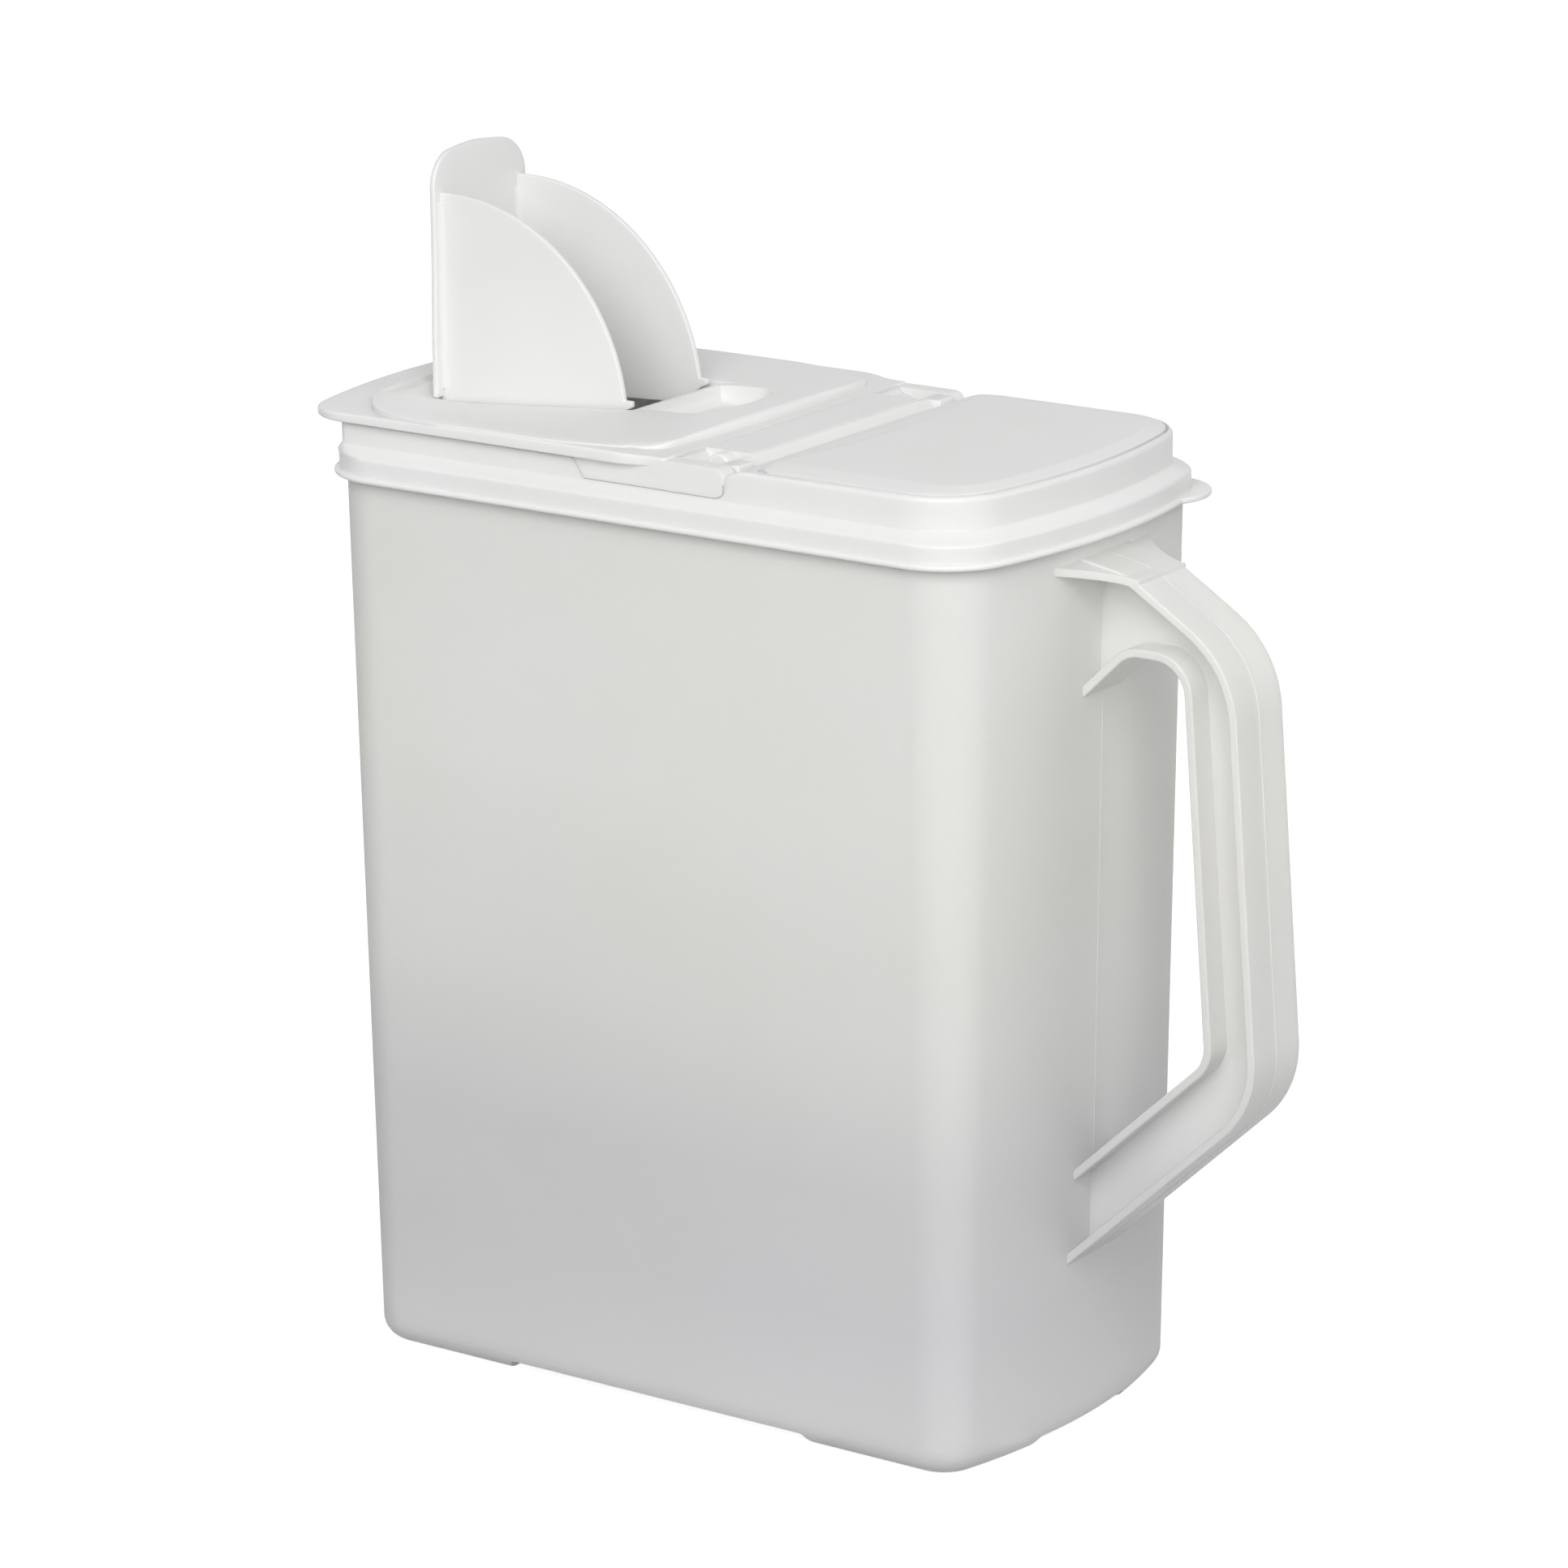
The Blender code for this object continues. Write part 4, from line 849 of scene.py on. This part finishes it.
def hinge_bar():
    """The cross bar that the flip lid turns beside, its face towards the pad sloped."""
    corners = [(BAR_LEFT, DECK_UNDER, 0), (BAR_FOOT, DECK_UNDER, 0), (BAR_FOOT, TROUGH_Z, 0.3 * MM),
               (BAR_RIGHT, BAR_TOP, 0.8 * MM), (BAR_LEFT, BAR_TOP, 0.9 * MM)]
    return side_prism("bar", round_corners(corners, 5), -BAR_HALF, BAR_HALF)


def hinge_eye(side):
    """The flat-topped eye for the flip lid's pin, the rounded catch and the wedge beside it."""
    low_z = POCKET_Z - 0.5 * MM
    y = span(side, EYE_START, ARM_INNER - EYE_GAP)
    eye = box("eye", (EYE_LEFT, POCKET_RIGHT + 0.2 * MM), y, (low_z, HINGE_Z + EYE_RISE))
    soften(eye, 0.6 * MM)
    catch_y = span(side, BAR_HALF - 1.2 * MM, BAR_HALF + 5.4 * MM)
    catch = soften(rod("catch", CATCH_RADIUS, CATCH_X, BAR_TOP - 3.8 * MM, catch_y), 0.9 * MM)
    wedge_y = span(side, BAR_HALF - 1.0 * MM, EYE_START + 0.7 * MM)
    wedge_left = BAR_RIGHT - 2.2 * MM
    corners = [(wedge_left, low_z, 0), (BAR_FOOT, low_z, 0), (BAR_FOOT, TROUGH_Z, 0.3 * MM),
               (BAR_RIGHT, BAR_TOP - 0.2 * MM, 0.8 * MM), (wedge_left, BAR_TOP - 0.6 * MM, 0.8 * MM)]
    return add(eye, catch, side_prism("wedge", round_corners(corners, 5), *wedge_y))


def eye_bore(side):
    return rod("bore", PIN_RADIUS + GAP, HINGE_X, HINGE_Z,
               span(side, EYE_START + 0.8 * MM, ARM_INNER + 1.0 * MM))


def lift_tab():
    """The round finger tab on the flange's far corner."""
    edge = round_edge(RIM_Z + 0.02 * MM, FLANGE_TOP - 0.02 * MM, 0.6 * MM)
    return loft("tab", [level(arc((TAB_X, TAB_Y), TAB_RADIUS - soft, 0.0, 2 * math.pi, 72)[:-1], z)
                        for soft, z in edge])


def hollow_base(lid):
    """Cut the room for the tub's rim and the hollows under the tiers, the pad and the bar."""
    inner = STEP_IN + LID_WALL
    under = DECK_UNDER - 1.0 * MM
    cavity = prism("cavity", lid_plan(-inner), RIM_Z - 1.0 * MM, TIER_TOP - 0.4 * MM)
    mid_cavity = prism("mid_cavity", upper_plan(-inner), TIER_TOP - 0.5 * MM, DECK_UNDER)
    high_cavity = prism("high_cavity", right_part(upper_plan(-inner), PAD_LEFT + 10.0 * MM), under,
                        BLOCK_TOP - 1.9 * MM)
    half = BAR_HALF - 4.0 * MM
    bar_cavity = box("bar_cavity", (BAR_LEFT + LID_WALL, BAR_RIGHT - LID_WALL), (-half, half),
                     (under, BAR_TOP - LID_WALL))
    channel = prism("channel", lid_plan(CHANNEL_CLEAR), RIM_Z - 1.0 * MM, RIM_TOP + GAP)
    plug = prism("plug", lid_plan(-WALL - GAP), RIM_Z - 2.0 * MM, RIM_TOP + 1.0 * MM)
    return cut(lid, cut(channel, plug), cavity, mid_cavity, high_cavity, bar_cavity)


def make_lid_base():
    lid = tier_solid()
    over = BLOCK_TOP + OVER
    left_cut = box("left_cut", (-TOP_LENGTH, BLOCK_LEFT), (-TOP_WIDTH, TOP_WIDTH), (DECK_TOP, over))
    groove = pad_outline(PAD_CREASE - GROOVE_WIDTH, PAD_LEFT - GROOVE_LEFT, GROOVE_CORNER)
    cut(lid, left_cut, trough(), prism("pad_groove", groove, BLOCK_TOP - GROOVE_DEPTH, over))
    add(lid, lift_tab(), fixed_pad(), hinge_bar())
    hollow_base(lid)
    mouth = prism("mouth", deck_opening(0.0), DECK_UNDER - 2.0 * MM, DECK_TOP + OVER)
    seat = prism("seat", deck_opening(-COLLAR_LIP - GAP), DECK_TOP - COLLAR_LIP_THICK - 0.1 * MM,
                 DECK_TOP + OVER)
    cut(lid, mouth, seat)
    add(lid, *both_sides(pocket_walls))
    cut(lid, *both_sides(hinge_pocket), *both_sides(arm_notch))
    add(lid, *both_sides(hinge_eye))
    cut(lid, *both_sides(eye_bore))
    return finish_piece(lid, "lid_with_hinge_bar", WHITE, "lid", "lid_base")


# ---------------- mouth collar
def make_mouth_collar():
    """A sleeve that hangs in the mouth, cut away on the slant towards the hinge."""
    bottom = COLLAR_TOP - COLLAR_DEPTH
    lip_z = COLLAR_TOP - COLLAR_LIP_THICK
    top = COLLAR_TOP - 0.1 * MM
    rings = [level(deck_opening(inset), z) for inset, z in (
        (GAP, bottom), (GAP, lip_z), (-COLLAR_LIP, lip_z), (-COLLAR_LIP, top),
        (GAP + COLLAR_SKIN, top), (GAP + COLLAR_SKIN, bottom))]
    collar = loft("collar", rings, closed=True)
    slant_top = lip_z - 3.0 * MM
    slant_x = COLLAR_CUT_X + (slant_top - bottom) * 0.98
    left, right = COLLAR_CUT_X - 12.0 * MM, MOUTH_RIGHT + 40.0 * MM
    below = bottom - OVER
    corners = [(COLLAR_CUT_X, bottom, 8.0 * MM), (slant_x, slant_top, 3.0 * MM), (right, slant_top, 0),
               (right, below, 0), (left, below, 0), (left, bottom, 0)]
    cut(collar, side_prism("slant", round_corners(corners), -TOP_WIDTH, TOP_WIDTH))
    return finish_piece(collar, "mouth_sleeve", WHITE, "lid", "mouth_collar")


# ---------------- flip lid
def flip_ring(left, right, half_at, left_corner, right_corner, left_bow, right_bow):
    """One closed outline of the flip lid, with equally many points in every ring."""
    right_end = bowed_end(right, half_at(right), right_bow, right_corner)
    left_end = [(-x, -y) for x, y in bowed_end(left, half_at(-left), left_bow, left_corner)]
    start, stop = right_end[-1][0], left_end[0][0]
    xs = [start + (stop - start) * share for share in SIDE_SHARES]
    far = [(x, half_at(x)) for x in xs]
    return right_end + far + left_end + [(x, -y) for x, y in reversed(far)]


def rim_ring(inset):
    """Outer edge: finger lip at the left, narrowed to the hinge arms at the right."""
    def half_at(x):
        narrow = smooth((x + 6.0 * MM) / (12.0 * MM))
        return RIM_HALF - inset - (RIM_HALF - ARM_OUTER) * narrow
    return flip_ring(TOP_LENGTH / 2 + LIP_OUT - inset, FLIP_RIGHT - inset * 0.5, half_at,
                     LIP_CORNER, 1.2 * MM, END_BOW, 0.05 * MM)


def pad_ring(inset):
    """Foot (inset 0) to top edge of the raised pad: long round left corners, narrowed to the hinge."""
    def half_at(x):
        return FOOT_HALF - inset - FOOT_NARROW * smooth((x + 34.0 * MM) / (42.0 * MM))
    return flip_ring(FOOT_LEFT - inset, FOOT_RIGHT - 0.3 * inset, half_at, FOOT_CORNER - inset,
                     9.0 * MM - 0.4 * inset, 1.6 * MM, 3.6 * MM - 0.5 * inset)


def edge_z(x):
    """Top of the rim's edge: droops at the lip, rises beside the pad, dips at the arms."""
    droop = smooth((-95.0 * MM - x) / (34.0 * MM)) * 0.4 * MM
    rise = smooth((x + 78.0 * MM) / (22.0 * MM)) * 0.55 * MM
    dip = smooth((x + 8.0 * MM) / (12.0 * MM)) * 0.5 * MM
    return FLIP_TOP + 0.1 * MM - droop + rise - dip


def crown(x, y):
    """The pad's top swells towards the hinge."""
    across = max(0.0, 1 - (y / CROWN_HALF) ** 2)
    return FLIP_PAD_TOP + CROWN_RISE * across * smooth((x + 62.0 * MM) / (56.0 * MM))


def foot_z(x):
    """Where the raised pad starts, above the rim's edge."""
    return max(edge_z(x), FLIP_TOP + 0.1 * MM)


def foot_groove(x):
    """Depth of the fine groove under the pad's border, at the pouring end only."""
    return FOOT_GROOVE_DEPTH * smooth((FOOT_GROOVE_END - x) / (1.5 * MM))


def flip_body():
    """Rounded rim, a shallow groove at the pad's foot, the pad's border and its swelling top."""
    rings = [level(rim_ring(inset * MM), FLIP_UNDER + rise * MM)
             for inset, rise in ((2.3, -0.1), (0.3, 0.5), (0.0, 0.9))]
    for turn in quarter_turn(EDGE_STEPS):
        inset, drop = RIM_SOFT * (1 - math.cos(turn)), RIM_SOFT * (1 - math.sin(turn))
        rings.append([(x, y, edge_z(x) - drop) for x, y in rim_ring(inset)])
    foot = pad_ring(-0.1 * MM)
    middle = [((a[0] + b[0]) / 2, (a[1] + b[1]) / 2) for a, b in zip(rim_ring(RIM_SOFT), foot)]
    rings.append([(x, y, foot_z(x) - 0.2 * foot_groove(x)) for x, y in middle])
    rings.append([(x, y, foot_z(x) - foot_groove(x)) for x, y in foot])
    for share, rise in FLIP_BORDER:
        rings.append([(x, y, foot_z(x) + (crown(x, y) - foot_z(x)) * rise)
                      for x, y in pad_ring(FOOT_BORDER * share)])
    top = pad_ring(FOOT_BORDER)
    for scale in PAD_SCALES:
        moved = [(PAD_CENTRE_X + (x - PAD_CENTRE_X) * scale, y * scale) for x, y in top]
        rings.append([(x, y, crown(x, y)) for x, y in moved])
    return loft("flip", rings)


def dish_surface(x, y):
    """The ramp round the spout: falls towards the pouring end, rises to both sides."""
    along = min((DISH_RIGHT - x) / (DISH_RIGHT - DISH_LEFT), 1.0)
    side = 1 - smooth((abs(y) - DISH_FLAT) / (DISH_HALF - DISH_FLAT))
    depth = (DISH_DEPTH + 0.1 * MM) * along * side
    bow = y * y / TOP_LENGTH * 0.6
    behind = smooth((DISH_LEFT - 2.0 * MM + bow - x) / (6.0 * MM))
    depth += (min(depth, 1.5 * MM) - depth) * behind
    return crown(x, y) + 0.1 * MM - depth


def dish_grid(trim):
    """Stations along and across the dish, closer together at its steep end."""
    right = DISH_RIGHT + 4.0 * MM
    left = -114.0 * MM + trim
    xs = [right - i * (right - DISH_LEFT) / 26 for i in range(27)]
    xs += [DISH_LEFT - 2.0 * MM - i * (DISH_LEFT - 2.0 * MM - left) / 12 for i in range(13)]
    reach = DISH_HALF + 1.0 * MM - trim
    ys = [-reach + 2 * reach * i / 48 for i in range(49)]
    return sorted(xs), ys


def spout_opening():
    """The hole under the spout that the food falls through."""
    half = SPOUT_HALF + HOLE_CLEAR
    left = SPOUT_FACE_X - PLATE_OUTER
    return [(left, -half), (HOLE_RIGHT, -half), (HOLE_RIGHT, half), (left, half)]


def scoop_plan(grow):
    """Finger recess beyond the spout's tab."""
    left = SCOOP_START - grow
    end = bowed_end(SCOOP_END + grow, SCOOP_HALF + grow, 2.6 * MM, 9.0 * MM + grow)
    return [(left, -SCOOP_HALF - grow)] + end + [(left, SCOOP_HALF + grow)]


def scoop_cutter():
    """The finger recess, with a soft foot."""
    rings = []
    for turn in quarter_turn(7):
        inset, rise = SCOOP_SOFT * (1 - math.sin(turn)), SCOOP_SOFT * (1 - math.cos(turn))
        rings.append(level(scoop_plan(-inset), FLIP_PAD_TOP - SCOOP_DEPTH + rise))
    rings.append(level(scoop_plan(0.0), FLIP_PAD_TOP + OVER))
    return loft("scoop", rings)


def flip_arm(side):
    """Hinge arm: a plate beside the bar's pocket, deeper at its rounded end."""
    top = ARM_Z + ARM_RADIUS
    points = arm_underside(0.0)
    points += arc((ARM_X, ARM_Z), ARM_RADIUS, -math.pi / 2, math.pi / 2, 24)
    points += [(FLIP_RIGHT - 2.0 * MM, top), (points[0][0], top)]
    arm = side_prism("arm", points, *span(side, ARM_INNER, ARM_OUTER))
    cut(arm, arm_turn(side, 0.0, ARM_Z + 9.0 * MM))
    soften(arm, 0.4 * MM)
    pin_y = span(side, EYE_START + 1.3 * MM, ARM_INNER + 0.5 * MM)
    return add(arm, rod("pin", PIN_RADIUS, HINGE_X, HINGE_Z, pin_y))


def spout_bearing(side):
    """The block beside the hole that carries one of the spout's trunnions."""
    y = span(side, SPOUT_HALF + HOLE_CLEAR, SPOUT_HALF + BEARING_REACH)
    return box("bearing", (TRUNNION_X - BEARING_HALF, TRUNNION_X + BEARING_HALF), y,
               (TRUNNION_Z - 3.0 * MM, DISH_FLOOR - 0.5 * MM))


def plate_seat():
    """Side outline of the room that the closed plate needs, from its lower face up."""
    slope = math.tan(math.pi / 2 - SPOUT_TURN)
    low = TRUNNION_Z + (TRUNNION_X - SPOUT_FACE_X - PLATE_INNER) / math.sin(SPOUT_TURN) - GAP
    left, right = TRUNNION_X - 4.0 * MM, TRUNNION_X + 79.0 * MM
    top = FLIP_PAD_TOP + OVER
    return [(left, low + slope * (left - TRUNNION_X)), (right, low + slope * (right - TRUNNION_X)),
            (right, top), (left, top)]


def make_flip_lid():
    lid = flip_body()
    over = FLIP_PAD_TOP + OVER
    cut(lid, prism("hollow", deck_opening(-1.5 * MM), FLIP_UNDER - 1.0 * MM, FLIP_TOP - FLIP_SKIN))
    bowl = height_solid("bowl", *dish_grid(0.5 * MM), lambda x, y: dish_surface(x, y) - FLIP_SKIN,
                        lambda x, y: FLIP_TOP + 0.3 * MM)
    scoop_cup = prism("scoop_cup", scoop_plan(FLIP_SKIN), FLIP_PAD_TOP - SCOOP_DEPTH - FLIP_SKIN,
                      FLIP_TOP + 0.2 * MM)
    add(lid, bowl, scoop_cup)
    cut(lid, height_solid("dish", *dish_grid(0.0), dish_surface, lambda x, y: over))
    add(lid, *both_sides(spout_bearing))
    seat_half = SPOUT_PLATE_HALF + GAP
    bore_half = SPOUT_HALF + TRUNNION_REACH + GAP
    cut(lid, scoop_cutter(), prism("spout_hole", spout_opening(), FLIP_UNDER - 20.0 * MM, over),
        side_prism("plate_seat", plate_seat(), -seat_half, seat_half),
        rod("trunnion_bore", TRUNNION_RADIUS + GAP, TRUNNION_X, TRUNNION_Z, (-bore_half, bore_half)))
    add(lid, *both_sides(flip_arm))
    return finish_piece(lid, "flip_lid_shell", WHITE, "flip", "flip_lid")


# ---------------- pour spout
def plate_half(z):
    """Half width of the plate: slight taper, round shoulders, nearly flat crown."""
    straight = SPOUT_PLATE_HALF - PLATE_TAPER * smooth((z - 304.0 * MM) / (36.0 * MM))
    rise = (z - SHOULDER_Z) / SHOULDER_RADIUS
    if rise <= 0:
        return straight
    return min(straight, SHOULDER_Y + SHOULDER_RADIUS * math.sqrt(max(0.0, 1 - rise * rise)))


def spout_plate():
    """From its foot above the dish to the crown, the tab curled slightly outwards."""
    foot = DISH_FLOOR + PLATE_LIFT
    heights = [foot + i * (SHOULDER_Z - foot) / PLATE_STEPS for i in range(PLATE_STEPS + 1)]
    heights += [SHOULDER_Z + SHOULDER_RADIUS * math.sin(turn) for turn in quarter_turn(PLATE_STEPS)[1:-1]]
    rows = [(z, plate_half(z)) for z in heights]
    crown_z = SHOULDER_Z + SHOULDER_RADIUS
    for half in (10.5 * MM, 7.5 * MM, 3.5 * MM, 0.8 * MM):
        rows.append((crown_z + TAB_CROWN * (1 - (half / SHOULDER_Y) ** 2), half))
    rings = []
    for z, half in rows:
        curl = CURL * max(0.0, (z - CURL_FROM_Z) / CURL_LENGTH) ** 2
        outer, inner = SPOUT_FACE_X - PLATE_OUTER - curl, SPOUT_FACE_X + PLATE_INNER - curl
        soft = min(0.55 * MM, half * 0.3)
        corners = [(outer, -half, soft), (inner, -half, soft), (inner, half, soft), (outer, half, soft)]
        rings.append(level(round_corners(corners, 4), z))
    return loft("plate", rings)


def spout_cheek(side):
    """A quarter disc with a small stop lug at its free corner."""
    centre = (TRUNNION_X + 1.6 * MM, TRUNNION_Z + 0.8 * MM)
    low = TRUNNION_Z - 1.0 * MM
    stop_z = FLIP_PAD_TOP + 0.4 * MM
    right = centre[0] + SPOUT_RADIUS
    points = arc((TRUNNION_X, TRUNNION_Z), 2.8 * MM, math.pi, 1.5 * math.pi, 6)
    points += [(TRUNNION_X + 8.0 * MM, low), (right - 6.0 * MM, low + 2.4 * MM), (right, stop_z - 1.0 * MM),
               (right + STOP_REACH, stop_z), (right + STOP_REACH, stop_z + STOP_HEIGHT)]
    start = math.asin((stop_z + STOP_HEIGHT - centre[1]) / SPOUT_RADIUS)
    left = SPOUT_FACE_X - 0.5 * MM
    end = math.acos((left - centre[0]) / SPOUT_RADIUS)
    points += arc(centre, SPOUT_RADIUS, start, end, 64)
    points.append((left, TRUNNION_Z + 3.6 * MM))
    return soften(side_prism("cheek", points, *span(side, SPOUT_HALF - SPOUT_SKIN, SPOUT_HALF)), 0.35 * MM)


def cheek_fillet(side, outside):
    """The soft inner corner where a cheek meets the plate."""
    face = SPOUT_FACE_X + PLATE_INNER - 0.05 * MM
    wall = side * (SPOUT_HALF - 0.05 * MM if outside else SPOUT_HALF - SPOUT_SKIN + 0.05 * MM)
    away = side if outside else -side
    centre = (face + FILLET_RADIUS, wall + away * FILLET_RADIUS)
    points = arc(centre, FILLET_RADIUS, -away * math.pi, -away * math.pi / 2, 6)
    points.append((face - 0.3 * MM, wall - away * 0.3 * MM))
    top = 352.0 * MM if outside else 350.5 * MM
    return prism("fillet", points, DISH_FLOOR + 3.5 * MM, top)


def trunnion(side):
    return rod("trunnion", TRUNNION_RADIUS, TRUNNION_X, TRUNNION_Z,
               span(side, SPOUT_HALF - 1.0 * MM, SPOUT_HALF + TRUNNION_REACH))


def make_pour_spout():
    spout = spout_plate()
    add(spout, *both_sides(spout_cheek))
    add(spout, *both_sides(lambda side: cheek_fillet(side, True)),
        *both_sides(lambda side: cheek_fillet(side, False)))
    add(spout, *both_sides(trunnion))
    return finish_piece(spout, "spout_shell", WHITE, "spout", "pour_spout")


# ---------------- studio
def direction(azimuth, elevation):
    """Unit vector from the object; azimuth 0 is the near long side, elevation 90 is straight above."""
    azimuth, elevation = math.radians(azimuth), math.radians(elevation)
    return Vector((math.sin(azimuth) * math.cos(elevation), -math.cos(azimuth) * math.cos(elevation),
                   math.sin(elevation)))


def camera():
    """The viewing angle, with the roll taken about the line of sight."""
    azimuth, roll = math.radians(VIEW_AZIMUTH), math.radians(VIEW_ROLL)
    back = direction(VIEW_AZIMUTH, VIEW_ELEVATION)
    right = Vector((math.cos(azimuth), math.sin(azimuth), 0.0))
    up = back.cross(right)
    place = back * VIEW_DISTANCE + right * VIEW_RIGHT + up * VIEW_UP + Vector((AXIS_X, 0.0, VIEW_CENTRE_Z))
    turned_right = math.cos(roll) * right + math.sin(roll) * up
    turned_up = -math.sin(roll) * right + math.cos(roll) * up
    data = bpy.data.cameras.new("camera")
    data.lens = LENS
    data.sensor_width = SENSOR
    data.clip_end = 30.0
    obj = bpy.data.objects.new("camera", data)
    obj.matrix_world = Matrix.Translation(place) @ Matrix(
        (turned_right, turned_up, back)).transposed().to_4x4()
    bpy.context.scene.collection.objects.link(obj)
    bpy.context.scene.camera = obj


def area_light(name, place, aim_z, size, power):
    """A rectangular light turned towards a point on the upright axis."""
    data = bpy.data.lights.new(name, "AREA")
    data.shape = "RECTANGLE"
    data.size, data.size_y = size
    data.energy = power
    obj = bpy.data.objects.new(name, data)
    obj.location = place
    obj.rotation_euler = (Vector((0.0, 0.0, aim_z)) - Vector(place)).to_track_quat("-Z", "Y").to_euler()
    bpy.context.scene.collection.objects.link(obj)


def white_background(tree):
    """1 for what the camera sees, directly, mirrored or through a clear piece; 0 for light."""
    path = tree.nodes.new("ShaderNodeLightPath")
    seen = path.outputs["Is Camera Ray"]
    for ray in ("Is Glossy Ray", "Is Transmission Ray"):
        either = tree.nodes.new("ShaderNodeMath")
        either.operation = "MAXIMUM"
        tree.links.new(seen, either.inputs[0])
        tree.links.new(path.outputs[ray], either.inputs[1])
        seen = either.outputs[0]
    return seen


def world():
    """Soft light from everywhere, and a white backdrop for what is seen."""
    scene_world = bpy.data.worlds.new("studio")
    bpy.context.scene.world = scene_world
    scene_world.use_nodes = True
    tree = scene_world.node_tree
    plain = tree.nodes["Background"]
    plain.inputs["Color"].default_value = (0.98, 0.985, 1.0, 1.0)
    plain.inputs["Strength"].default_value = WORLD_STRENGTH
    white = tree.nodes.new("ShaderNodeBackground")
    white.inputs["Color"].default_value = (1.0, 1.0, 1.0, 1.0)
    white.inputs["Strength"].default_value = 1.0
    mix = tree.nodes.new("ShaderNodeMixShader")
    tree.links.new(white_background(tree), mix.inputs["Fac"])
    tree.links.new(plain.outputs[0], mix.inputs[1])
    tree.links.new(white.outputs[0], mix.inputs[2])
    tree.links.new(mix.outputs[0], tree.nodes["World Output"].inputs["Surface"])


def floor():
    """A pale floor that keeps the shadow and is seen nearly white."""
    bm = bmesh.new()
    bmesh.ops.create_grid(bm, x_segments=1, y_segments=1, size=6.0)
    bm.transform(Matrix.Translation((0.0, 0.0, -0.0005)))
    obj = new_object("floor", bm)
    material, tree, shader = principled("floor_paper")
    shader.inputs["Base Color"].default_value = (FLOOR_GREY, FLOOR_GREY, FLOOR_GREY, 1.0)
    shader.inputs["Roughness"].default_value = 0.9
    shader.inputs["Specular IOR Level"].default_value = 0.1
    glow = tree.nodes.new("ShaderNodeEmission")
    glow.inputs["Color"].default_value = (1.0, 1.0, 1.0, 1.0)
    scale = tree.nodes.new("ShaderNodeMath")
    scale.operation = "MULTIPLY"
    scale.inputs[1].default_value = FLOOR_GLOW
    tree.links.new(white_background(tree), scale.inputs[0])
    tree.links.new(scale.outputs[0], glow.inputs["Strength"])
    both = tree.nodes.new("ShaderNodeAddShader")
    tree.links.new(shader.outputs[0], both.inputs[0])
    tree.links.new(glow.outputs[0], both.inputs[1])
    tree.links.new(both.outputs[0], tree.nodes["Material Output"].inputs["Surface"])
    obj.data.materials.append(material)


def studio():
    camera()
    world()
    floor()
    area_light("fill", FILL_PLACE, FILL_AIM_Z, FILL_SIZE, FILL_POWER)
    key_place = direction(KEY_AZIMUTH, KEY_ELEVATION) * KEY_DISTANCE + Vector((0.0, 0.0, KEY_AIM_Z))
    area_light("key", key_place, KEY_AIM_Z, KEY_SIZE, KEY_POWER)
    bpy.context.scene.view_settings.view_transform = "Standard"


make_tub()
make_lid_base()
make_mouth_collar()
make_flip_lid()
make_pour_spout()
studio()
